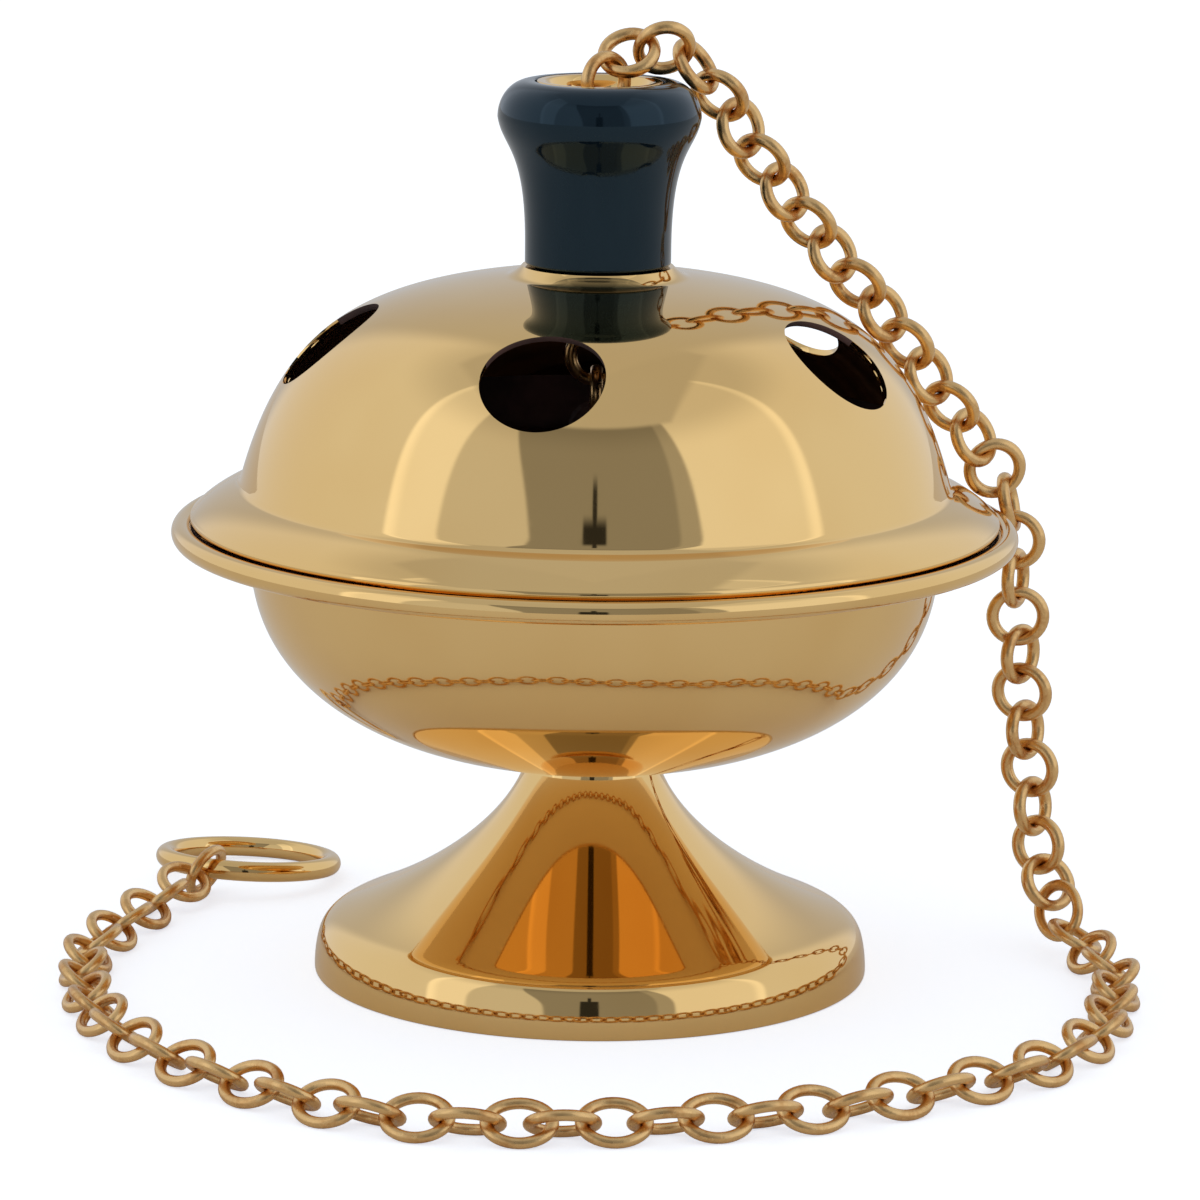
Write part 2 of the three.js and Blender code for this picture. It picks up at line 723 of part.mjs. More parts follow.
const base = new THREE.Group();
base.add(piece("foot", makeFoot(), polishedBrass));
base.add(piece("bowl", makeBowl(), polishedBrass));
base.add(piece("centre_screw", makeCentreScrew(), innerBrass));
const footWasherBottom = footWasherTop - footWasherThickness;
const footWasher = washer(footWasherRadius, screwRadius + BORE_GAP, footWasherBottom, footWasherTop);
base.add(piece("foot_washer", footWasher, steel));
const footNut = hexNut(footNutFlats, screwRadius + BORE_GAP, footNutBottom, footNutTop);
base.add(piece("foot_nut", footNut, steel));
base.add(piece("chain_bridge", makeBridge(), innerBrass));
armAngles().forEach((degrees, i) => base.add(piece(`bridge_rivet_${i + 1}`, makeRivet(degrees), innerBrass)));
base.add(piece("chain_eye", makeEye(), innerBrass));
const eyeNut = hexNut(eyeNutFlats, eyeShank + BORE_GAP, eyeNutTop - eyeNutHeight, eyeNutTop);
base.add(piece("eye_nut", eyeNut, innerBrass));
base.add(piece("chain_in_knob", makeInnerChain(), chainBrass));
base.add(piece("charcoal_pan", makePan(), innerBrass));

const lidGroup = new THREE.Group();
lidGroup.add(piece("lid", makeLid(), polishedBrass));
lidGroup.add(piece("knob", makeKnob(), knobBlack));
lidGroup.add(piece("knob_tube", makeTube(), polishedBrass));
const tubeWasherBottom = tubeWasherTop - tubeWasherThickness;
const tubeWasher = washer(tubeWasherRadius, tubeRadius + BORE_GAP, tubeWasherBottom, tubeWasherTop);
lidGroup.add(piece("tube_washer", tubeWasher, innerBrass));
const tubeNut = hexNut(tubeNutFlats, tubeRadius + BORE_GAP, tubeNutTop - tubeNutHeight, tubeNutTop);
lidGroup.add(piece("tube_nut", tubeNut, innerBrass));

const chain = new THREE.Group();
const { runs, tip } = layChain();
for (const { name, shape } of runs) chain.add(piece(name, shape, chainBrass));
chain.add(piece("finger_ring", makeRing(tip), polishedBrass));

censer.add(base, lidGroup, chain);

export default censer;
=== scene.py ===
"""The looks of a brass hand censer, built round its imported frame.

A spun foot and bowl, a pierced dome lid with a dark turned knob, and one chain of round links that
comes out of the knob, falls over the rim and lies round the foot to a finger ring.
Sizes are in millimetres and are turned to metres where a mesh is made.
"""

from __future__ import annotations

import json
import logging
import math
from collections.abc import Callable, Iterable, Sequence
from dataclasses import dataclass, field
from enum import Enum

import bmesh
import bpy
from mathutils import Matrix, Quaternion, Vector

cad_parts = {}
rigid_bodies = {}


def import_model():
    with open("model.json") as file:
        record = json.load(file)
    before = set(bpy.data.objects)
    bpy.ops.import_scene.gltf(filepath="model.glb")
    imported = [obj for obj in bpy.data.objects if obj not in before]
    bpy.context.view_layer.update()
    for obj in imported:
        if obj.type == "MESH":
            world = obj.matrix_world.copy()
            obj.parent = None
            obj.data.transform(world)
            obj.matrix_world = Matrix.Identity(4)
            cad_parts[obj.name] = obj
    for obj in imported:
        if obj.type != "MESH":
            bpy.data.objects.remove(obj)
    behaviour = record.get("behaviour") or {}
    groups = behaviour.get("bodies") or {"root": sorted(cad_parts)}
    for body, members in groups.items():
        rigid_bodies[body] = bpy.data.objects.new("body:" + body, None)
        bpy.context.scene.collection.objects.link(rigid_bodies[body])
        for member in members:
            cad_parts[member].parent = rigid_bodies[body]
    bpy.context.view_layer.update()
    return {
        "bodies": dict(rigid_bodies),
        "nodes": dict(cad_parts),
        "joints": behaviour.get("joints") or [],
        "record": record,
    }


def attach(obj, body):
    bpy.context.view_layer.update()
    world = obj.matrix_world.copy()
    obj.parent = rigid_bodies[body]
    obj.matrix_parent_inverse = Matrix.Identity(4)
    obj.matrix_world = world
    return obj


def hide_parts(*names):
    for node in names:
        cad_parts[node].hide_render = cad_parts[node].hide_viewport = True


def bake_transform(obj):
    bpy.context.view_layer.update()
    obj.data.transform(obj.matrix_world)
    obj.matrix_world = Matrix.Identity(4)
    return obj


MM = 0.001
SHELL_SIDES = 256
TURNED_SIDES = 96
SHARP_ANGLE = math.radians(38)

log = logging.getLogger("censer")

Point = tuple[float, float]
Triple = tuple[float, float, float]
Row = tuple[float, float, float, float, float]
Shape = bmesh.types.BMesh
Piece = bpy.types.Object


class Body(Enum):
    """The rigid bodies of the frame that the new pieces ride on."""

    BASE = "censer_base"
    CHAIN = "hanging_chain"
    LID = "lid"
    RING = "finger_ring"


class Slot(Enum):
    """The record's material slots, named for the new pieces but not set on them."""

    POLISHED = "polished_brass"
    CHAIN = "chain_brass"
    KNOB = "knob_black"


# Shader building


class Wire:
    """An output socket that Python's operators build on, each adding a Math node."""

    def __init__(self, sheet: "Sheet", socket: bpy.types.NodeSocket) -> None:
        """Keeps the node sheet and the socket."""
        self.sheet = sheet
        self.socket = socket

    def _math(self, operation: str, *values: "Wire | float") -> "Wire":
        """Adds a Math node with an operation and its inputs in order."""
        inputs = dict(enumerate(values))
        return self.sheet.add("ShaderNodeMath", {"operation": operation}, inputs)

    def __add__(self, other: "Wire | float") -> "Wire":
        """self + other."""
        return self._math("ADD", self, other)

    __radd__ = __add__

    def __sub__(self, other: "Wire | float") -> "Wire":
        """self - other."""
        return self._math("SUBTRACT", self, other)

    def __rsub__(self, other: float) -> "Wire":
        """other - self."""
        return self._math("SUBTRACT", other, self)

    def __mul__(self, other: "Wire | float") -> "Wire":
        """self * other."""
        return self._math("MULTIPLY", self, other)

    __rmul__ = __mul__

    def __truediv__(self, other: "Wire | float") -> "Wire":
        """self / other."""
        return self._math("DIVIDE", self, other)

    def __pow__(self, other: float) -> "Wire":
        """self ** other."""
        return self._math("POWER", self, other)

    def __neg__(self) -> "Wire":
        """-self."""
        return self._math("MULTIPLY", self, -1.0)

    def call(self, operation: str, *others: "Wire | float") -> "Wire":
        """Any other operation of the Math node, with self as its first input."""
        return self._math(operation, self, *others)

    def ramp(self, low: float, high: float, start: float = 0.0, end: float = 1.0) -> "Wire":
        """A smooth step between low and high, from the start level to the end level."""
        settings = {"interpolation_type": "SMOOTHSTEP"}
        return self.sheet.add("ShaderNodeMapRange", settings, {0: self, 1: low, 2: high, 3: start, 4: end})


class Sheet:
    """A node tree and the one method that adds nodes to it."""

    def __init__(self, tree: bpy.types.NodeTree) -> None:
        """Empties the tree."""
        self.tree = tree
        tree.nodes.clear()

    def add(
        self,
        kind: str,
        settings: dict[str, object] | None = None,
        inputs: dict[str | int, object] | None = None,
        output: str | int = 0,
    ) -> Wire:
        """Adds a node.

        Args:
            kind: The node's type.
            settings: Its own settings, set before its sockets.
            inputs: Values or wires for its input sockets, by name or number.
            output: The output that is returned.

        Returns:
            One of the node's outputs.
        """
        node = self.tree.nodes.new(kind)
        for name, value in (settings or {}).items():
            setattr(node, name, value)
        for name, value in (inputs or {}).items():
            if isinstance(value, Wire):
                self.tree.links.new(value.socket, node.inputs[name])
            elif value is not None:
                node.inputs[name].default_value = value
        return Wire(self, node.outputs[output] if node.outputs else node.inputs[0])

    def mix(self, share: Wire | float, first: object, second: object) -> Wire:
        """Mixes two colours or wires: a share of 0 is the first, 1 the second."""
        return self.add("ShaderNodeMix", {"data_type": "RGBA"}, {0: share, 6: first, 7: second}, 2)

    def noise(self, scale: float, detail: float, stretch: Sequence[float] = (1, 1, 1)) -> Wire:
        """Noise on Object coordinates.

        Args:
            scale: Waves to a metre.
            detail: Octaves.
            stretch: How much finer it is along X, Y and Z.

        Returns:
            The noise, about 0.5 on average.
        """
        place = self.add("ShaderNodeTexCoord", output="Object")
        mapped = self.add("ShaderNodeMapping", None, {"Vector": place, "Scale": tuple(stretch)})
        inputs = {"Vector": mapped, "Scale": scale, "Detail": detail}
        return self.add("ShaderNodeTexNoise", None, inputs)


def bump(sheet: Sheet, height: Wire, distance: float, strength: float = 1.0) -> Wire:
    """A bumped normal: the height's wire, how far 1 stands out in metres, and its strength."""
    return sheet.add("ShaderNodeBump", None, {"Strength": strength, "Distance": distance, "Height": height})


def principled(sheet: Sheet, colour: Wire, rough: Wire, metallic: float, **others: object) -> Wire:
    """A Principled shader, whose other inputs are named with underscores for blanks."""
    inputs = {"Base Color": colour, "Roughness": rough, "Metallic": metallic}
    inputs |= {name.replace("_", " "): value for name, value in others.items()}
    return sheet.add("ShaderNodeBsdfPrincipled", None, inputs)


def rgb(colour: Sequence[float]) -> tuple[float, float, float, float]:
    """A colour with a full alpha."""
    return (colour[0], colour[1], colour[2], 1.0)


def material(name: str, paint: Callable[[Sheet], Wire]) -> bpy.types.Material:
    """Makes a material.

    Args:
        name: Its name.
        paint: A function that builds the shader on a sheet and returns its output.

    Returns:
        The material.
    """
    made = bpy.data.materials.new(name)
    made.use_nodes = True
    sheet = Sheet(made.node_tree)
    sheet.add("ShaderNodeOutputMaterial", None, {"Surface": paint(sheet)})
    return made


# Finishes


@dataclass(frozen=True)
class Finish:
    """A finish: its name, its values and how it is painted."""

    name: str

    def paint(self, sheet: Sheet) -> Wire:
        """Builds the shader on a sheet and returns its output."""
        raise NotImplementedError

    def build(self) -> bpy.types.Material:
        """The material."""
        return material(self.name, self.paint)


@dataclass(frozen=True)
class PolishedBrass(Finish):
    """Spun brass buffed to a mirror, with a faint unevenness and hardly any haze."""

    name: str = "polished brass"
    colour: Triple = (0.87, 0.575, 0.235)
    deep: Triple = (0.84, 0.54, 0.21)
    roughness: float = 0.035
    haze: float = 0.03
    wave: float = 0.00001

    def paint(self, sheet: Sheet) -> Wire:
        """Builds the shader."""
        cloud = sheet.noise(scale=28.0, detail=2.0)
        wipe = sheet.noise(scale=210.0, detail=4.0, stretch=(1.0, 1.0, 2.5))
        colour = sheet.mix(cloud.ramp(0.35, 0.65), rgb(self.colour), rgb(self.deep))
        rough = wipe.ramp(0.45, 0.8) * self.haze + self.roughness
        wave = sheet.noise(scale=45.0, detail=1.0, stretch=(1.0, 1.0, 1.6))
        return principled(sheet, colour, rough, 1.0, Normal=bump(sheet, wave, self.wave))


@dataclass(frozen=True)
class SatinBrass(Finish):
    """Tumbled chain wire: warm, satin, browner in patches."""

    name: str = "satin chain brass"
    colour: Triple = (0.80, 0.50, 0.21)
    brown: Triple = (0.58, 0.28, 0.09)
    roughness: float = 0.22
    spread: float = 0.14
    grain: float = 0.00003

    def paint(self, sheet: Sheet) -> Wire:
        """Builds the shader."""
        patch = sheet.noise(scale=160.0, detail=3.0)
        speck = sheet.noise(scale=1500.0, detail=3.0)
        share = (patch * 0.75 + speck * 0.25).ramp(0.45, 0.72)
        colour = sheet.mix(share, rgb(self.colour), rgb(self.brown))
        rough = speck * self.spread + self.roughness
        return principled(sheet, colour, rough, 1.0, Normal=bump(sheet, speck, self.grain))


@dataclass(frozen=True)
class PaintedShadeBrass(Finish):
    """The inside: brass darkened with painted shade, where the closed vessel lies in shade."""

    name: str = "painted shade inner brass"
    colour: Triple = (0.16, 0.085, 0.072)
    deepest_shade: Triple = (0.06, 0.036, 0.033)
    roughness: float = 0.55
    spread: float = 0.25
    metallic: float = 0.2
    crust: float = 0.0002
    crust_share: float = 0.3

    def paint(self, sheet: Sheet) -> Wire:
        """Builds the shader."""
        patch = sheet.noise(scale=70.0, detail=5.0)
        # painted shade: the inside's brass is mottled between two dark tones
        colour = sheet.mix(patch.ramp(0.35, 0.65), rgb(self.colour), rgb(self.deepest_shade))
        rough = patch * self.spread + self.roughness
        crust = bump(sheet, patch, self.crust, self.crust_share)
        return principled(sheet, colour, rough, self.metallic, Normal=crust)


@dataclass(frozen=True)
class GlossPlastic(Finish):
    """The knob's heat-proof moulding: blue-black and glossy, with faint wipe marks."""

    name: str = "blue-black knob"
    colour: Triple = (0.004, 0.009, 0.015)
    dust: Triple = (0.006, 0.012, 0.019)
    gleam: Triple = (0.50, 0.80, 1.0)
    roughness: float = 0.06
    haze: float = 0.06
    bend: float = 1.47

    def paint(self, sheet: Sheet) -> Wire:
        """Builds the shader."""
        wipe = sheet.noise(scale=140.0, detail=4.0, stretch=(1.0, 1.0, 0.4))
        colour = sheet.mix(wipe.ramp(0.4, 0.7), rgb(self.colour), rgb(self.dust))
        rough = wipe.ramp(0.45, 0.8) * self.haze + self.roughness
        return principled(sheet, colour, rough, 0.0, IOR=self.bend, Specular_Tint=rgb(self.gleam))


@dataclass(frozen=True)
class BrushedSteel(Finish):
    """The nut and washer under the foot."""

    name: str = "fastener steel"
    colour: Triple = (0.55, 0.55, 0.53)
    worn: Triple = (0.36, 0.35, 0.33)
    roughness: float = 0.28
    spread: float = 0.15

    def paint(self, sheet: Sheet) -> Wire:
        """Builds the shader."""
        scratch = sheet.noise(scale=900.0, detail=4.0, stretch=(1.0, 6.0, 1.0))
        colour = sheet.mix(scratch.ramp(0.4, 0.7), rgb(self.colour), rgb(self.worn))
        rough = scratch * self.spread + self.roughness
        return principled(sheet, colour, rough, 1.0)


# Outlines


def arc(middle: Point, radii: Point, start: float, end: float, steps: int) -> list[Point]:
    """Points along an arc with two half-axes, between angles in degrees: 0 outwards, 90 up."""
    angles = [math.radians(start + (end - start) * i / steps) for i in range(steps + 1)]
    return [(middle[0] + radii[0] * math.cos(a), middle[1] + radii[1] * math.sin(a)) for a in angles]


def bend_at(corners: Sequence[Point], t: float) -> Point:
    """The point at a share of a cubic bend with a start, two pull points and an end."""
    shares = ((1 - t) ** 3, 3 * t * (1 - t) ** 2, 3 * t**2 * (1 - t), t**3)
    return tuple(sum(share * corner[k] for share, corner in zip(shares, corners)) for k in (0, 1))


def bend(corners: Sequence[Point], steps: int) -> list[Point]:
    """Points along a cubic bend with a start, two pull points and an end."""
    return [bend_at(corners, i / steps) for i in range(steps + 1)]


def eased(before: Point, corner: Point, after: Point, cut: float, steps: int = 8) -> list[Point]:
    """Points round a corner that is eased.

    Args:
        before: A point on the way to the corner.
        corner: The corner.
        after: A point on the way on.
        cut: How far from the corner the easing starts and ends.
        steps: How many steps it takes.

    Returns:
        The points.
    """
    middle = Vector(corner)
    start, end = (middle + (Vector(leg) - middle).normalized() * cut for leg in (before, after))
    return bend([start, start.lerp(middle, 0.6), end.lerp(middle, 0.6), end], steps)


def rounded(before: Sequence[Point], after: Sequence[Point], pull: float, steps: int = 16) -> list[Point]:
    """Points round the corner where two outlines would meet.

    Args:
        before: The last two points of the first outline.
        after: The first two points of the second outline.
        pull: How far the bend is pulled to the corner, 0 to 1.
        steps: How many steps it takes.

    Returns:
        The points between the two outlines.
    """
    (r0, z0), (r1, z1) = before
    (r2, z2), (r3, z3) = after
    cross = (r1 - r0) * (z2 - z3) - (z1 - z0) * (r2 - r3)
    way = ((r2 - r1) * (z2 - z3) - (z2 - z1) * (r2 - r3)) / cross
    corner = Vector((r1 + way * (r1 - r0), z1 + way * (z1 - z0)))
    start, end = Vector(before[1]), Vector(after[0])
    return bend([start, start.lerp(corner, pull), end.lerp(corner, pull), end], steps)[1:-1]


def offset(points: Sequence[Point], wall: float) -> list[Point]:
    """An outline moved to its left by a wall's thickness.

    Args:
        points: The outline.
        wall: The thickness.

    Returns:
        The moved outline.
    """
    moved = []
    for i, (r, z) in enumerate(points):
        r0, z0 = points[max(i - 1, 0)]
        r1, z1 = points[min(i + 1, len(points) - 1)]
        length = math.hypot(r1 - r0, z1 - z0)
        moved.append((r - wall * (z1 - z0) / length, z + wall * (r1 - r0) / length))
    return moved


# Meshes


def keep(name: str, mesh: Shape) -> Piece:
    """Turns a bmesh into a smooth-shaded object with its real corners left sharp.

    Args:
        name: The piece's name.
        mesh: The bmesh, which is freed.

    Returns:
        The object.
    """
    for face in mesh.faces:
        face.smooth = True
    for edge in mesh.edges:
        edge.smooth = len(edge.link_faces) == 2 and edge.calc_face_angle(0.0) < SHARP_ANGLE
    data = bpy.data.meshes.new(name)
    mesh.to_mesh(data)
    mesh.free()
    made = bpy.data.objects.new(name, data)
    bpy.context.scene.collection.objects.link(made)
    return made


def spin(mesh: Shape, geom: list, sides: int) -> None:
    """Spins vertices and edges once round the upright axis in so many steps."""
    middle, axis = (0, 0, 0), (0, 0, 1)
    bmesh.ops.spin(mesh, geom=geom, cent=middle, axis=axis, angle=math.tau, steps=sides, use_merge=True)


def wire_section(mesh: Shape, sides: int, wire: float, across: float) -> list:
    """Adds an upright ring of vertices for a round wire that stands off the axis.

    Args:
        mesh: The bmesh.
        sides: The ring's sides.
        wire: The wire's thickness.
        across: How far from the axis its middle is.

    Returns:
        The vertices.
    """
    section = bmesh.ops.create_circle(mesh, segments=sides, radius=wire / 2)["verts"]
    place = Matrix.Translation((across, 0, 0)) @ Matrix.Rotation(math.pi / 2, 4, "X")
    bmesh.ops.transform(mesh, matrix=place, verts=section)
    return section


def spin_outline(outline: Sequence[Point], sides: int) -> Shape:
    """Spins an outline about the upright axis.

    Args:
        outline: Radius and height points in millimetres.
        sides: Steps round the axis.

    Returns:
        The spun bmesh, with its faces outwards.
    """
    mesh = bmesh.new()
    corners = [mesh.verts.new((r * MM, 0.0, z * MM)) for r, z in outline]
    edges = [mesh.edges.new(pair) for pair in zip(corners, corners[1:] + corners[:1])]
    spin(mesh, corners + edges, sides)
    bmesh.ops.remove_doubles(mesh, verts=mesh.verts, dist=1e-7)
    bmesh.ops.recalc_face_normals(mesh, faces=mesh.faces)
    return mesh


def dress(
    piece: Piece, finish: bpy.types.Material, slot: Slot, body: Body, node: str
) -> Piece:
    """Gives a new piece its finish, its body and the CAD node that it stands for.

    Args:
        piece: The piece.
        finish: Its main material.
        slot: The record's slot for it; not used.
        body: The body that it rides on.
        node: The CAD node that it replaces.

    Returns:
        The piece.
    """
    if not piece.data.materials:
        piece.data.materials.append(finish)
    else:
        piece.data.materials[0] = finish
    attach(piece, body.value)
    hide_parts(node)
    log.info("%s: %d faces on %s", piece.name, len(piece.data.polygons), body.value)
    return piece


@dataclass
class Finishes:
    """The materials that the pieces share."""

    polished: bpy.types.Material = field(default_factory=PolishedBrass().build)
    chain: bpy.types.Material = field(default_factory=SatinBrass().build)
    # inner: the dark brass of painted shade for the inside of the closed vessel
    inner: bpy.types.Material = field(default_factory=PaintedShadeBrass().build)
    knob: bpy.types.Material = field(default_factory=GlossPlastic().build)
    steel: bpy.types.Material = field(default_factory=BrushedSteel().build)


# Foot and bowl


@dataclass
class Foot:
    """The spun trumpet foot, hollow and open underneath."""

    radius: float = 50.35
    height: float = 39.5
    wall: float = 1.3
    lip: Point = (0.2, 0.9)
    skirt: Point = (6.6, 12.75)
    skirt_turn: float = 24.0
    shoulder: Point = (48.2, 9.85)
    shoulder_end: float = 45.6
    shoulder_pull: float = 0.72
    lower: Point = (30.0, 16.75)
    upper: Point = (15.85, 27.45)
    neck_radius: float = 12.25
    neck_height: float = 1.2
    plate: float = 1.6
    bore: float = 2.8
    hem_width: float = 3.0
    hem: float = 1.2
    hem_curl: Point = (0.8, 0.4)
    inside_ends: Point = (0.5, 0.6)
    lift: float = 0.02
    steps: int = 90

    def outside(self) -> list[Point]:
        """The outer outline from the hem to the neck."""
        skirt = arc((self.radius - self.skirt[0], self.lip[1]), self.skirt, 0, self.skirt_turn, 14)
        neck = (self.neck_radius, self.height - self.neck_height)
        trumpet = bend([self.shoulder, self.lower, self.upper, neck], self.steps)
        trumpet = [p for p in trumpet if p[0] < self.shoulder_end]
        return [*skirt, *rounded(skirt[-2:], trumpet[:2], self.shoulder_pull), *trumpet]

    def build(self, finishes: Finishes) -> Piece:
        """Builds the foot.

        Args:
            finishes: The shared materials.

        Returns:
            The piece.
        """
        outside = self.outside()
        under = self.height - self.plate
        hem_inner = self.radius - self.hem_width
        inside = offset(outside, self.wall)
        low, high = self.hem + self.inside_ends[0], under - self.inside_ends[1]
        inside = [p for p in inside if low < p[1] < high][::-1]
        half_hem = self.hem / 2 - self.lift
        curl, rise = self.hem_curl
        curl_start = (self.radius - curl, self.lift)
        curl_pulls = ((self.radius - self.lip[0], self.lift), (self.radius, rise))
        outline = [
            *bend([curl_start, *curl_pulls, outside[0]], 6),
            *outside[1:],
            (self.neck_radius, self.height),
            (self.bore, self.height),
            (self.bore, under),
            (self.neck_radius - self.wall, under),
            *inside,
            (self.radius - self.wall, self.hem),
            *arc((hem_inner + rise, self.hem / 2 + self.lift), (rise, half_hem), 90, 270, 6),
        ]
        piece = keep("foot_shell", spin_outline(outline, SHELL_SIDES))
        return dress(piece, finishes.polished, Slot.POLISHED, Body.BASE, "foot")


@dataclass
class Bowl:
    """The spun bowl: a round dish with a flat ledge and a rolled bead."""

    bottom: float = 39.65
    radius: float = 62.2
    depth: float = 39.55
    power: float = 2.34
    wall: float = 1.4
    seat: float = 9.0
    bore: float = 2.8
    ledge: float = 80.2
    ledge_ease: float = 1.0
    bead_radius: float = 74.3
    bead: float = 2.0
    bead_height: float = 81.5
    bead_arc: Point = (-144, 150)
    bead_foot: float = 0.2
    bright_ledge: float = 4.0
    steps: int = 110

    def outside(self) -> list[Point]:
        """The outer outline from the seat to the ledge."""
        start = math.asin((self.seat / self.radius) ** (self.power / 2))
        points = []
        for i in range(self.steps + 1):
            angle = start + (math.pi / 2 - start) * i / self.steps
            across = math.sin(angle) ** (2 / self.power)
            up = 1 - max(math.cos(angle), 0.0) ** (2 / self.power)
            points.append((self.radius * across, self.bottom + self.depth * up))
        middle = (self.radius + self.ledge_ease, self.ledge - self.ledge_ease)
        return [*points, *arc(middle, (self.ledge_ease,) * 2, 180, 90, 8)[1:]]

    def build(self, finishes: Finishes) -> Piece:
        """Builds the bowl, with its inside in the dark inner finish of painted shade.

        Args:
            finishes: The shared materials.

        Returns:
            The piece.
        """
        outside = self.outside()
        inside = [p for p in offset(outside, self.wall) if p[0] > self.seat][::-1]
        brim = self.bead_radius - self.bead
        outline = [
            (self.bore, self.bottom),
            *outside,
            (brim + self.bead_foot, self.ledge),
            *arc((self.bead_radius, self.bead_height), (self.bead, self.bead), *self.bead_arc, 40),
            (brim, self.ledge + self.wall),
            *inside,
            (self.bore, self.bottom + self.wall),
        ]
        mesh = spin_outline(outline, SHELL_SIDES)
        # painted shade: inside faces within the bright ledge take the dark inner finish
        shaded_radius = self.bead_radius - self.bright_ledge
        for face in mesh.faces:
            middle = face.calc_center_median() / MM
            outwards = face.normal.x * middle.x + face.normal.y * middle.y
            is_inner = face.normal.z > 0.05 or outwards < 0
            face.material_index = int(is_inner and math.hypot(middle.x, middle.y) < shaded_radius)
        piece = keep("bowl_shell", mesh)
        piece.data.materials.append(finishes.polished)
        piece.data.materials.append(finishes.inner)
        return dress(piece, finishes.polished, Slot.POLISHED, Body.BASE, "bowl")


# Lid, knob and mouth


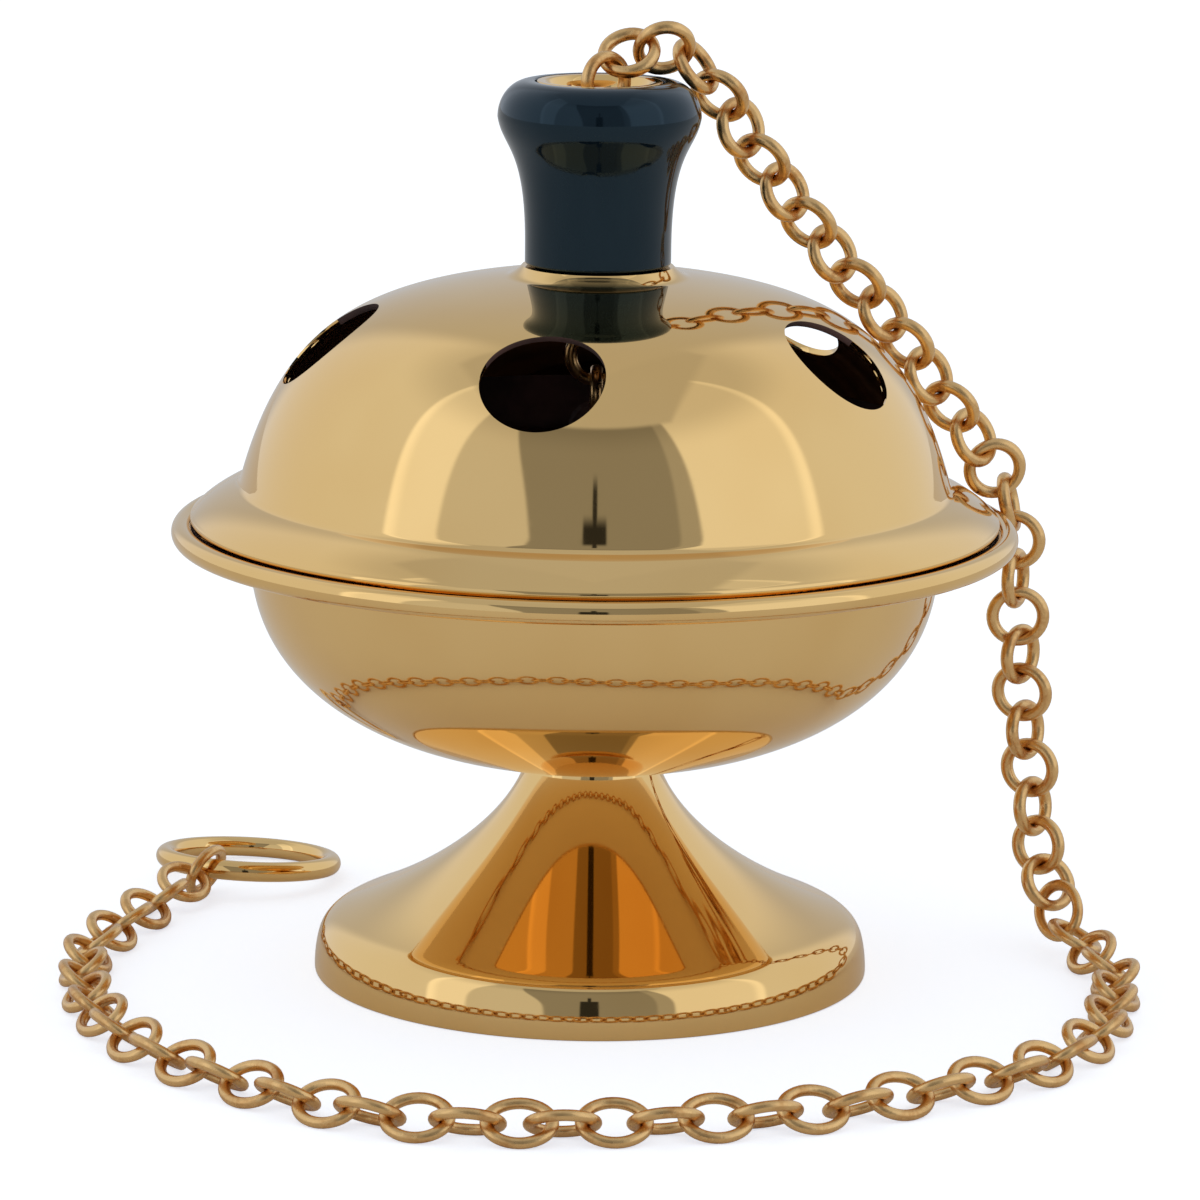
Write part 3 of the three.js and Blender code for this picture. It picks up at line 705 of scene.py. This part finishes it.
@dataclass
class Lid:
    """The spun dome with its out-turned flange, five vents and a low collar."""

    edge_radius: float = 72.9
    edge_low: float = 83.23
    edge_height: float = 1.6
    edge_round: Point = (0.5, 0.7)
    edge_arc: Point = (-50, 70)
    edge_foot: float = 0.3
    wall: float = 1.2
    flange: tuple[Point, Point] = ((70.6, 86.9), (67.6, 88.7))
    crease: Point = (64.2, 90.0)
    crease_ease: float = 0.9
    dome: tuple[Point, Point, Point, Point] = (
        (63.7, 91.63),
        (56.2, 118.43),
        (42.6, 124.93),
        (16.4, 127.93),
    )
    collar_top: Point = (13.6, 129.83)
    collar_plate: float = 1.6
    collar_pulls: tuple[Point, Point] = ((-0.9, 0.2), (0.4, -0.5))
    bore: float = 7.9
    bright_edge: float = 3.6
    vent_count: int = 5
    vent_radius: float = 11.0
    vent_share: float = 0.465
    vent_turn: float = -101.0
    vent_bar: float = 14.0
    lip: float = 0.16
    lip_angle: float = 50.0
    spun_share: float = 0.93
    vent_reach: float = 0.01
    vent_low: float = 100.0
    steps: int = 130

    def outside(self) -> list[Point]:
        """The outer outline from the edge to the foot of the collar."""
        out, up = self.edge_round
        middle = (self.edge_radius - out, self.edge_low + self.edge_height - up)
        edge = arc(middle, self.edge_round, *self.edge_arc, 10)
        flange = bend([edge[-1], *self.flange, self.crease], 24)
        ease = eased(flange[-2], self.crease, self.dome[0], self.crease_ease)
        flange = [p for p in flange[1:] if p[0] > ease[0][0] + 0.1]
        return [*edge, *flange, *ease, *bend(self.dome, self.steps)]

    def collar(self) -> list[Point]:
        """The collar's outline, from the dome's end to the lid's top."""
        ends = (self.dome[3], self.collar_top)
        pulls = [(r + out, z + up) for (r, z), (out, up) in zip(ends, self.collar_pulls)]
        return bend([ends[0], *pulls, ends[1]], 8)

    def cutters(self) -> Piece:
        """Round bars through the dome where its vents are."""
        shares = (self.vent_share + off for off in (-self.vent_reach, 0, self.vent_reach))
        before, place, after = (Vector(bend_at(self.dome, share)) for share in shares)
        along = after - before
        tilt = math.atan2(along.y, -along.x)
        mesh = bmesh.new()
        for i in range(self.vent_count):
            turn = math.radians(self.vent_turn + 360 * i / self.vent_count)
            matrix = Matrix.Rotation(turn, 4, "Z")
            matrix @= Matrix.Translation(Vector((place.x, 0, place.y - self.wall / 2)) * MM)
            matrix @= Matrix.Rotation(tilt, 4, "Y")
            sizes = {"radius1": self.vent_radius * MM, "radius2": self.vent_radius * MM, "segments": 128}
            bmesh.ops.create_cone(mesh, cap_ends=True, depth=self.vent_bar * MM, matrix=matrix, **sizes)
        return keep("vent_cutters", mesh)

    def build(self, finishes: Finishes) -> Piece:
        """Builds the lid, pierces it and gives its dome clean normals.

        Args:
            finishes: The shared materials.

        Returns:
            The piece.
        """
        outside = self.outside()
        top_radius, top = self.collar_top
        under = top - self.collar_plate
        inside = [p for p in offset(outside, self.wall) if self.edge_low + 0.5 < p[1] < under - 0.1]
        outline = [
            *outside,
            *self.collar()[1:],
            (self.bore, top),
            (self.bore, under),
            (top_radius - self.wall, under),
            *inside[::-1],
            (self.edge_radius - self.wall, self.edge_low),
            (self.edge_radius - self.edge_foot, self.edge_low),
        ]
        shell = keep("lid_shell", spin_outline(outline, SHELL_SIDES))
        cutters = self.cutters()
        cut = shell.modifiers.new("vents", "BOOLEAN")
        cut.object = cutters
        cut.solver = "EXACT"
        lip = shell.modifiers.new("vent lips", "BEVEL")
        lip.width = self.lip * MM
        lip.segments = 2
        lip.limit_method = "ANGLE"
        lip.angle_limit = math.radians(self.lip_angle)
        depsgraph = bpy.context.evaluated_depsgraph_get()
        data = bpy.data.meshes.new_from_object(shell.evaluated_get(depsgraph))
        shell.modifiers.clear()
        shell.data = data
        bpy.data.objects.remove(cutters)
        self.clean_normals(data, outline)
        self.paint_inside(data)
        data.materials.append(finishes.polished)
        data.materials.append(finishes.inner)
        return dress(shell, finishes.polished, Slot.POLISHED, Body.LID, "lid")

    def surface_normal(self, outline: Sequence[Vector], normals: Sequence[Vector], flat: Vector) -> Vector:
        """The smooth normal of the unpierced lid nearest a point.

        Args:
            outline: The outline's points.
            normals: The outline's normals.
            flat: The point, as radius and height.

        Returns:
            The normal, as its outward and upward parts.
        """
        nearest = min(range(len(outline)), key=lambda i: (outline[i] - flat).length_squared)
        best, share, base = 1e9, 0.0, nearest
        for start in (nearest - 1, nearest):
            a, b = outline[start], outline[(start + 1) % len(outline)]
            t = min(max((flat - a).dot(b - a) / max((b - a).length_squared, 1e-18), 0.0), 1.0)
            gap = (a.lerp(b, t) - flat).length_squared
            if gap < best:
                best, share, base = gap, t, start
        return normals[base].lerp(normals[(base + 1) % len(normals)], share).normalized()

    def clean_normals(self, data: bpy.types.Mesh, outline: Sequence[Point]) -> None:
        """Sets the normals of the spun faces from the outline, so that the vents leave no dents.

        Args:
            data: The pierced mesh.
            outline: The outline that was spun.
        """
        points = [Vector(p) * MM for p in outline]
        normals = []
        for i, point in enumerate(points):
            before = (point - points[i - 1]).normalized()
            after = (points[(i + 1) % len(points)] - point).normalized()
            along = (before + after).normalized()
            normals.append(Vector((along.y, -along.x)))
        known: dict[Point, Vector] = {}
        smooth = []
        for vert in data.vertices:
            across = math.hypot(vert.co.x, vert.co.y)
            flat = (round(across, 7), round(vert.co.z, 7))
            if flat not in known:
                known[flat] = self.surface_normal(points, normals, Vector(flat))
            out, up = known[flat]
            smooth.append(Vector((vert.co.x / across * out, vert.co.y / across * out, up)))
        wanted = []
        for polygon in data.polygons:
            for corner in polygon.loop_indices:
                normal = smooth[data.loops[corner].vertex_index]
                is_spun = polygon.normal.dot(normal) > self.spun_share
                wanted.append(tuple(normal if is_spun else data.corner_normals[corner].vector))
        data.normals_split_custom_set(wanted)

    def paint_inside(self, data: bpy.types.Mesh) -> None:
        """Marks the inside faces for the dark inner finish of painted shade."""
        for polygon in data.polygons:
            middle = polygon.center / MM
            across = math.hypot(middle.x, middle.y)
            outwards = polygon.normal.x * middle.x + polygon.normal.y * middle.y
            is_under = polygon.normal.z < -0.05 or outwards < -1.0
            in_vent = abs(polygon.normal.z) < 0.9 and outwards < 0 and middle.z > self.vent_low
            is_rim = across > self.edge_radius - self.bright_edge
            is_inner = is_under and not in_vent and not is_rim and across > self.bore + 1
            # painted shade: the underside, short of the bright rim and the vent walls, takes the dark inner
            # finish
            polygon.material_index = int(is_inner)


@dataclass
class Knob:
    """The dark turned knob round the chain's tube."""

    low: float = 130.13
    radius: float = 13.1
    swell: float = 18.2
    height: float = 32.8
    crown: float = 6.5
    crown_radius: float = 12.7
    bore: float = 7.9
    mouth: float = 11.55
    mouth_depth: float = 1.0
    mouth_round: float = 0.3
    funnel: float = 9.0
    foot_round: float = 0.5
    waist: float = 3.2
    waist_pull: float = 20.9
    shoulder_pull: Point = (0.9, 5.7)

    def build(self, finishes: Finishes) -> Piece:
        """Builds the knob.

        Args:
            finishes: The shared materials.

        Returns:
            The piece.
        """
        top = self.low + self.height
        shoulder = top - self.crown
        waist = [(self.radius, self.low + up) for up in (self.waist, self.waist_pull)]
        pull = (self.swell - self.shoulder_pull[0], shoulder - self.shoulder_pull[1])
        foot, rim = (self.foot_round,) * 2, (self.mouth_round,) * 2
        radii = (self.swell - self.crown_radius, self.crown)
        outline = [
            (self.bore, self.low),
            (self.radius - foot[0], self.low),
            *arc((self.radius - foot[0], self.low + foot[0]), foot, -90, 0, 6)[1:],
            *bend([*waist, pull, (self.swell, shoulder)], 40),
            *arc((self.crown_radius, shoulder), radii, 0, 90, 24)[1:],
            *arc((self.mouth + rim[0], top - rim[0]), rim, 90, 180, 5),
            (self.mouth, top - self.mouth_depth),
            (self.bore, top - self.funnel),
        ]
        piece = keep("knob_turning", spin_outline(outline, TURNED_SIDES * 2))
        return dress(piece, finishes.knob, Slot.KNOB, Body.LID, "knob")


@dataclass
class MouthTube:
    """The brass tube through the knob, flared at its mouth."""

    low: float = 120.83
    top: float = 162.93
    bore: float = 6.6
    wall: float = 1.0
    mouth: float = 11.25
    edge: float = 0.5
    depth: float = 7.7
    thinned: float = 0.86
    thinnest: float = 0.3
    rise: float = 0.05
    lift: float = 0.02

    def build(self, finishes: Finishes) -> Piece:
        """Builds the tube.

        Args:
            finishes: The shared materials.

        Returns:
            The piece.
        """
        outer = self.bore + self.wall
        middle = (self.mouth, self.top - self.edge - self.depth)
        flare = arc(middle, (-(self.mouth - outer), self.depth), 0, 90, 20)
        lining = []
        for i, (r, z) in enumerate(flare):
            inwards = self.thinned * self.wall * max(self.thinnest, 1 - i / 24)
            lining.append((r - inwards, min(z + self.rise * i, self.top - self.lift)))
        half = self.edge / 2
        outline = [
            (self.bore, self.low),
            (outer, self.low),
            *flare,
            *arc((self.mouth - half, self.top - half), (half, half), 0, 90, 5),
            *lining[::-1],
        ]
        piece = keep("mouth_lining", spin_outline(outline, TURNED_SIDES * 2))
        return dress(piece, finishes.polished, Slot.POLISHED, Body.LID, "knob_tube")


# Chain


@dataclass(frozen=True)
class Link:
    """A link: its wire, how thick that is along the chain as a share, its length and its width."""

    wire: float
    worn: float
    length: float
    width: float


@dataclass(frozen=True)
class Run:
    """A run of links, as in the CAD source."""

    node: str
    piece: str
    links: int
    pitch: float
    on_floor: bool


@dataclass
class Chain:
    """The chain: separate links of wire, round where it hangs and longer on the floor.

    A route row is a point of the chain's middle line and the rolls of its even and odd links there.
    """

    hung: Link = Link(2.38, 0.86, 11.35, 11.75)
    laid: Link = Link(1.95, 1.18, 13.2, 10.35)
    slack: float = 1.5
    wire_sides: int = 14
    link_steps: int = 40
    settle: float = 0.8
    lift: float = 0.02
    fall: tuple[Row, ...] = (
        (0, 0, 151.8, -45, 46),
        (0, 0.9, 159.1, -38, 46),
        (2.1, 2.9, 165.7, -32, 54),
        (8.1, 5.2, 169.2, -28, 61),
        (14.7, 7.7, 167.1, -25, 74),
        (19.6, 9.9, 162.2, -14, 87),
        (23.5, 11.7, 156.3, -2, 88),
        (27.4, 13.2, 150.2, -4, 88),
        (31.5, 14.3, 144.3, -5, 88),
        (35.9, 15.3, 138.5, -5, 88),
        (40.4, 16.1, 132.8, -5, 88),
        (44.9, 16.9, 127.1, -6, 87),
        (49.8, 17.6, 121.6, -6, 88),
        (54.5, 18.3, 116.1, -5, 88),
        (58.7, 19, 110.1, -4, 88),
        (63, 19.8, 104.2, -6, 87),
        (67.2, 20.7, 98.4, -8, 66),
        (71.6, 21.7, 92.6, -20, 42),
        (75.4, 22.9, 86.5, -32, 54),
        (77.2, 23.8, 79.4, -26, 63),
        (77.7, 24.2, 72.1, -19, 57),
        (78.1, 24.6, 64.8, -12, 50),
        (79, 24.9, 57.6, -5, 62),
        (79.4, 25.3, 50.3, -6, 72),
        (80, 25.7, 43, -7, 75),
        (81.1, 25.8, 35.8, -7, 78),
        (82, 25.5, 28.6, -7, 84),
        (82.5, 24.4, 21.4, 3, 89),
        (84.3, 22.2, 14.6, 13, 83),
        (86.2, 18.8, 8.5, 8, 78),
        (88.3, 12.8, 4.9, 2, 72),
        (90.6, 5.6, 3.9, -3, 67),
    )
    ground: tuple[Point, ...] = (
        (92.8, -2),
        (94.6, -9.5),
        (94.9, -20),
        (93.1, -32),
        (91.2, -44),
        (87.8, -55.6),
        (79.1, -71.2),
        (67.8, -82.2),
        (54.2, -91.8),
        (39.3, -101),
        (22.6, -107),
        (5.3, -110.6),
        (-12.1, -111.7),
        (-28.6, -109.2),
        (-42.5, -102.2),
        (-55.4, -91.6),
        (-66.9, -80.2),
        (-77.2, -66.2),
        (-84.8, -50),
        (-89.6, -32),
        (-91.6, -14),
        (-90.4, 1),
        (-86.9, 14.5),
        (-83, 27),
    )
    ground_height: float = 3.8
    ground_rolls: Point = (-9, 61)
    rising: tuple[Row, ...] = (
        (-79.4, 37, 4.1, -23, 57),
        (-75.8, 45.5, 5, -45, 42),
        (-71.6, 54, 5.6, -49, 42),
        (-67.4, 62, 6, -49, 42),
    )
    runs: tuple[Run, ...] = (
        Run("chain_over_lid", "chain_over_lid_links", 29, 7.3, False),
        Run("chain_floor_lead", "chain_lead_links", 12, 8.6, True),
        Run("chain_floor_right", "chain_right_links", 11, 8.6, True),
        Run("chain_floor_front", "chain_front_links", 13, 8.6, True),
        Run("chain_floor_left", "chain_left_links", 12, 8.6, True),
    )
    lead_top: Triple = (0.0868, 0.0172, 0.0078)
    lead_rest: Triple = (0.0912, -0.044, 0.0038)
    inner_low: float = 102.55
    inner_pitch: float = 7.3
    inner_links: int = 6
    search: float = 0.002
    halvings: int = 20

    def __post_init__(self) -> None:
        """Joins the three parts of the route."""
        ground = ((x, y, self.ground_height, *self.ground_rolls) for x, y in self.ground)
        self.route: tuple[Row, ...] = (*self.fall, *ground, *self.rising)

    def point(self, share: float) -> Vector:
        """The point of the route at a share of its length in points, on a centripetal curve."""
        points = [Vector(row[:3]) for row in self.route]
        last = len(points) - 1
        place = min(max(share, 0.0), 1.0) * last
        index = min(int(place), last - 1)
        t = place - index
        p1, p2 = points[index], points[index + 1]
        p0 = points[index - 1] if index > 0 else p1 * 2 - p2
        p3 = points[index + 2] if index + 2 <= last else p2 * 2 - p1
        gaps = [max((b - a).length_squared**0.25, 1e-4) for a, b in ((p0, p1), (p1, p2), (p2, p3))]
        d0, d1, d2 = gaps
        m1 = ((p1 - p0) / d0 - (p2 - p0) / (d0 + d1) + (p2 - p1) / d1) * d1
        m2 = ((p2 - p1) / d1 - (p3 - p1) / (d1 + d2) + (p3 - p2) / d2) * d1
        square, cube = t * t, t * t * t
        start = p1 * (2 * cube - 3 * square + 1) + m1 * (cube - 2 * square + t)
        return start + p2 * (3 * square - 2 * cube) + m2 * (cube - square)

    def step(self, share: float, length: float) -> float:
        """The share of the route that lies one straight step on from another.

        Args:
            share: Where the step starts.
            length: The step in millimetres.

        Returns:
            Where it ends.
        """
        start = self.point(share)
        far = share
        while far < 1 and (self.point(far) - start).length < length:
            far += self.search
        near = share
        for _ in range(self.halvings):
            middle = (near + far) / 2
            if (self.point(middle) - start).length < length:
                near = middle
            else:
                far = middle
        return far

    def roll(self, share: float, column: int) -> float:
        """The roll of a link at a share of the route, in radians."""
        place = share * (len(self.route) - 1)
        index = min(int(place), len(self.route) - 2)
        before, after = self.route[index][column], self.route[index + 1][column]
        return math.radians(before + (after - before) * (place - index))

    def add_link(
        self, mesh: Shape, start: Vector, end: Vector, across: Vector, link: Link
    ) -> None:
        """Adds one link between the points where its neighbours touch it.

        Args:
            mesh: The run's bmesh.
            start: The first touching point.
            end: The last touching point.
            across: The direction of its width.
            link: Its sizes.
        """
        along = (end - start).normalized()
        width = (across - along * across.dot(along)).normalized()
        face = width.cross(along)
        frame = Matrix((along, face, width)).transposed().to_4x4()
        frame.translation = (start + end) / 2
        half_long = (link.length - link.wire * link.worn) / 2
        half_wide = (link.width - link.wire) / 2
        before = set(mesh.verts)
        section = wire_section(mesh, self.wire_sides, link.wire, half_wide)
        edges = list({edge for vert in section for edge in vert.link_edges})
        spin(mesh, section + edges, self.link_steps)
        made = [vert for vert in mesh.verts if vert not in before]
        for vert in made:
            angle = math.atan2(vert.co.y, vert.co.x)
            off = vert.co - Vector((math.cos(angle), math.sin(angle), 0)) * half_wide
            middle = Vector((math.cos(angle) * half_long, math.sin(angle) * half_wide, 0))
            vert.co = middle + Vector((off.x * link.worn, off.y, off.z))
        bmesh.ops.transform(mesh, matrix=frame @ Matrix.Rotation(math.pi / 2, 4, "X"), verts=made)
        low = min(vert.co.z for vert in made)
        if low < self.settle:
            bmesh.ops.translate(mesh, verts=made, vec=(0, 0, self.lift - low))
        bmesh.ops.scale(mesh, verts=made, vec=(MM, MM, MM))

    def build(self, finishes: Finishes) -> list[Piece]:
        """Builds every run outside the knob and the one inside it.

        Args:
            finishes: The shared materials.

        Returns:
            The pieces.
        """
        share = 0.0
        across, before = Vector((1, 0, 0)), Vector((0, 0, 1))
        is_even = True
        pieces = []
        for run in self.runs:
            mesh = bmesh.new()
            for i in range(run.links):
                start = self.point(share)
                following = self.step(share, run.pitch)
                heading = (self.point(following) - start).normalized()
                across.rotate(before.rotation_difference(heading))
                roll = self.roll(share, 3 if is_even else 4)
                turned = Quaternion(heading, roll) @ across
                link = self.laid if run.on_floor else self.hung
                self.add_link(mesh, start, start + heading * run.pitch, turned, link)
                before = heading
                is_even = not is_even
                share = following if i < run.links - 1 else self.step(share, run.pitch - self.slack)
            pieces.append(self.finish_run(mesh, run, finishes))
        pieces.append(self.build_inner(finishes))
        return pieces

    def finish_run(self, mesh: Shape, run: Run, finishes: Finishes) -> Piece:
        """Dresses a run; the lead only gets its finish and stays where it was built, with its CAD node
        hidden.

        Args:
            mesh: The run's bmesh.
            run: The run.
            finishes: The shared materials.

        Returns:
            The piece.
        """
        bmesh.ops.recalc_face_normals(mesh, faces=mesh.faces)
        piece = keep(run.piece, mesh)
        if run.node != "chain_floor_lead":
            body = Body.BASE if run.on_floor else Body.CHAIN
            return dress(piece, finishes.chain, Slot.CHAIN, body, run.node)
        piece.data.materials.append(finishes.chain)
        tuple(self.lead_top)
        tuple(self.lead_rest)
        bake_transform(piece)
        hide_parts(run.node)
        return piece

    def build_inner(self, finishes: Finishes) -> Piece:
        """Builds the links between the eye and the knob's tube.

        Args:
            finishes: The shared materials.

        Returns:
            The piece.
        """
        mesh = bmesh.new()
        for i in range(self.inner_links):
            start = Vector((0, 0, self.inner_low + i * self.inner_pitch))
            end = start + Vector((0, 0, self.inner_pitch))
            across = Vector((0, 1, 0)) if i % 2 == 0 else Vector((1, 0, 0))
            self.add_link(mesh, start, end, across, self.hung)
        bmesh.ops.recalc_face_normals(mesh, faces=mesh.faces)
        piece = keep("chain_inside_links", mesh)
        return dress(piece, finishes.chain, Slot.CHAIN, Body.BASE, "chain_in_knob")


@dataclass
class FingerRing:
    """The plain round ring at the chain's end."""

    radius: float = 16.0
    wire: float = 3.8
    wire_sides: int = 32
    near: Triple = (-73.5, 50.16, 5.3)
    heading: Point = (0.4434, 0.8963)
    lift: float = 3.4

    def build(self, finishes: Finishes) -> Piece:
        """Builds the ring.

        Args:
            finishes: The shared materials.

        Returns:
            The piece.
        """
        mesh = bmesh.new()
        wire_section(mesh, self.wire_sides, self.wire, self.radius)
        spin(mesh, [*mesh.verts, *mesh.edges], TURNED_SIDES)
        bmesh.ops.recalc_face_normals(mesh, faces=mesh.faces)
        tilt = math.asin(self.lift / (2 * self.radius))
        turn = math.atan2(self.heading[1], self.heading[0])
        place = Matrix.Translation(self.near) @ Matrix.Rotation(turn, 4, "Z")
        place = place @ Matrix.Rotation(tilt, 4, "Y") @ Matrix.Translation((self.radius, 0, 0))
        bmesh.ops.transform(mesh, matrix=Matrix.Scale(MM, 4) @ place, verts=mesh.verts)
        piece = keep("ring_wire", mesh)
        return dress(piece, finishes.polished, Slot.POLISHED, Body.RING, "finger_ring")


# Inside


@dataclass
class Inside:
    """The fittings inside: CAD nodes that keep their shape and get their finish, the inner ones the dark
    brass of painted shade.
    """

    inner: tuple[str, ...] = (
        "centre_screw",
        "chain_bridge",
        *(f"bridge_rivet_{i}" for i in (1, 2, 3)),
        "chain_eye",
        "eye_nut",
        "charcoal_pan",
        "tube_washer",
        "tube_nut",
    )
    steel: tuple[str, ...] = ("foot_washer", "foot_nut")

    def dress(self, frame: dict, finishes: Finishes) -> None:
        """Gives the CAD nodes their materials.

        Args:
            frame: The loaded frame.
            finishes: The shared materials.
        """
        # painted shade: the fittings inside the vessel take the dark inner finish
        for names, finish in ((self.inner, finishes.inner), (self.steel, finishes.steel)):
            for name in names:
                node = frame["nodes"][name]
                node.data.materials.clear()
                node.data.materials.append(finish)
                log.info("%s keeps its solid", name)


# Studio


@dataclass(frozen=True)
class WallEdge:
    """An upright edge in the tent: where it is in degrees, its lean, its softness and its step."""

    at: float
    lean: float
    soft: float
    step: float


@dataclass(frozen=True)
class Shade:
    """A dark shape in front: where its side fades and where its top does, in degrees."""

    side: Point
    top: Point


@dataclass
class Studio:
    """A pale floor, a tent of soft light and the camera."""

    lens: float = 177.0
    sensor: float = 36.0
    clip: Point = (0.05, 100.0)
    place: Triple = (0.001075, -1.04598, 0.28152)
    pitch: float = 11.5
    roll: float = 0.67
    floor_size: float = 30.0
    floor_colour: float = 0.80
    floor_glow: float = 0.64
    floor_shine: float = 0.08
    wall_level: float = 0.66
    wall_edges: tuple[WallEdge, ...] = (
        WallEdge(-70.5, -24.0, 1.2, 0.32),
        WallEdge(-66.5, -24.0, 2.5, -0.15),
        WallEdge(-52.0, -8.0, 1.2, -0.29),
        WallEdge(-18.5, -24.0, 1.0, -0.30),
        WallEdge(28.0, 2.0, 1.0, 0.10),
        WallEdge(35.5, 0.0, 1.0, 0.42),
        WallEdge(73.0, 22.0, 2.5, 0.18),
        WallEdge(77.5, 22.0, 1.5, -0.28),
    )
    lean_height: float = 60.0
    low_gain: float = 1.3
    gain_fade: Point = (45.0, 62.0)
    wall_tops: tuple[Point, Point] = ((-95.0, 2.05), (95.0, 2.8))
    least_facing: float = 0.02
    front_top: float = 59.0
    top_soft: float = 1.5
    ceiling: float = 0.58
    back: float = 0.60
    back_fade: Point = (150.0, 162.0)
    stem: Shade = Shade((0.5, 1.1), (32.0, 40.0))
    head: Shade = Shade((3.4, 4.4), (23.0, 27.0))
    shade: float = 0.9
    room_light: float = 0.6
    cold: Triple = (0.90, 0.97, 1.08)

    def camera(self) -> None:
        """Makes the camera at the photograph's angle."""
        data = bpy.data.cameras.new("camera")
        data.lens = self.lens
        data.sensor_width = self.sensor
        data.clip_start, data.clip_end = self.clip
        made = bpy.data.objects.new("camera", data)
        bpy.context.scene.collection.objects.link(made)
        made.location = self.place
        turn = Matrix.Rotation(math.radians(90 - self.pitch), 4, "X")
        turn @= Matrix.Rotation(math.radians(self.roll), 4, "Z")
        made.rotation_euler = turn.to_euler()
        bpy.context.scene.camera = made

    def floor(self) -> None:
        """Makes the floor: white to the eye, softer in the metal, and it keeps the shadow."""
        mesh = bmesh.new()
        bmesh.ops.create_grid(mesh, x_segments=1, y_segments=1, size=self.floor_size / 2)
        made = keep("studio_floor", mesh)

        def paint(sheet: Sheet) -> Wire:
            colour = rgb((self.floor_colour,) * 3)
            matte = sheet.add("ShaderNodeBsdfDiffuse", None, {"Color": colour})
            seen = sheet.add("ShaderNodeLightPath", output="Is Camera Ray")
            mirrored = sheet.add("ShaderNodeLightPath", output="Is Glossy Ray")
            through = sheet.add("ShaderNodeLightPath", output="Is Transmission Ray")
            strength = seen.call("MAXIMUM", through) * self.floor_glow + mirrored * self.floor_shine
            glow = sheet.add("ShaderNodeEmission", None, {"Color": rgb(self.cold), "Strength": strength})
            return sheet.add("ShaderNodeAddShader", None, {0: matte, 1: glow})

        made.data.materials.append(material("studio floor", paint))

    def tent(self) -> None:
        """Makes the room: plain white to the eye, a tent with two bright sides in the metal."""
        world = bpy.data.worlds.new("light tent")
        bpy.context.scene.world = world
        world.use_nodes = True
        sheet = Sheet(world.node_tree)
        way = sheet.add("ShaderNodeTexCoord", output="Generated")
        split = sheet.add("ShaderNodeSeparateXYZ", None, {0: way})
        node = split.socket.node
        x, y, z = (Wire(sheet, node.outputs[i]) for i in range(3))
        to_degrees = 180 / math.pi
        turn = x.call("ARCTAN2", -y) * to_degrees
        height = z.call("ARCSINE") * to_degrees
        aside = turn.call("ABSOLUTE")
        rise = (height.call("MAXIMUM", 0.0) / self.lean_height) ** 2.0

        walls = self.wall_level
        for edge in self.wall_edges:
            start, end = edge.at - edge.soft, edge.at + edge.soft
            walls = walls + (turn - rise * edge.lean).ramp(start, end, 0.0, edge.step)
        walls = walls * height.ramp(*self.gain_fade, self.low_gain, 1.0)

        top = self.front_top
        for facing, tall in self.wall_tops:
            near = ((turn - facing) * (math.pi / 180)).call("COSINE").call("MAXIMUM", self.least_facing)
            top = ((near * tall).call("ARCTANGENT") * to_degrees).call("MAXIMUM", top)
        over = (height - top).ramp(-self.top_soft, self.top_soft)
        level = walls * (1 - over) + over * self.ceiling
        behind = aside.ramp(*self.back_fade)
        level = level * (1 - behind) + behind * self.back
        shades = [
            aside.ramp(*shade.side, 1.0, 0.0) * height.ramp(*shade.top, 1.0, 0.0)
            for shade in (self.stem, self.head)
        ]
        level = level * (1 - shades[0].call("MAXIMUM", shades[1]) * self.shade)
        eye = sheet.add("ShaderNodeLightPath", output="Is Camera Ray")
        eye = eye.call("MAXIMUM", sheet.add("ShaderNodeLightPath", output="Is Transmission Ray"))
        gloss = sheet.add("ShaderNodeLightPath", output="Is Glossy Ray")
        white = rgb((1, 1, 1))
        seen = sheet.add("ShaderNodeBackground", None, {"Color": white, "Strength": 1.0})
        mirrored = sheet.add("ShaderNodeBackground", None, {"Color": rgb(self.cold), "Strength": level})
        lit = sheet.add("ShaderNodeBackground", None, {"Color": white, "Strength": self.room_light})
        room = sheet.add("ShaderNodeMixShader", None, {0: gloss, 1: lit, 2: mirrored})
        shown = sheet.add("ShaderNodeMixShader", None, {0: eye, 1: room, 2: seen})
        sheet.add("ShaderNodeOutputWorld", None, {"Surface": shown})

    def build(self) -> None:
        """Builds the camera, the floor and the light."""
        self.camera()
        self.floor()
        self.tent()
        bpy.context.scene.view_settings.view_transform = "Standard"


def main() -> None:
    """Builds the pieces round the frame."""
    logging.basicConfig(level=logging.INFO, format="%(message)s")
    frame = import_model()
    Studio().build()
    finishes = Finishes()
    for assembly in (Chain, FingerRing, Foot, Bowl, Lid, Knob, MouthTube):
        assembly().build(finishes)
    Inside().dress(frame, finishes)


if __name__ == "__main__":
    main()
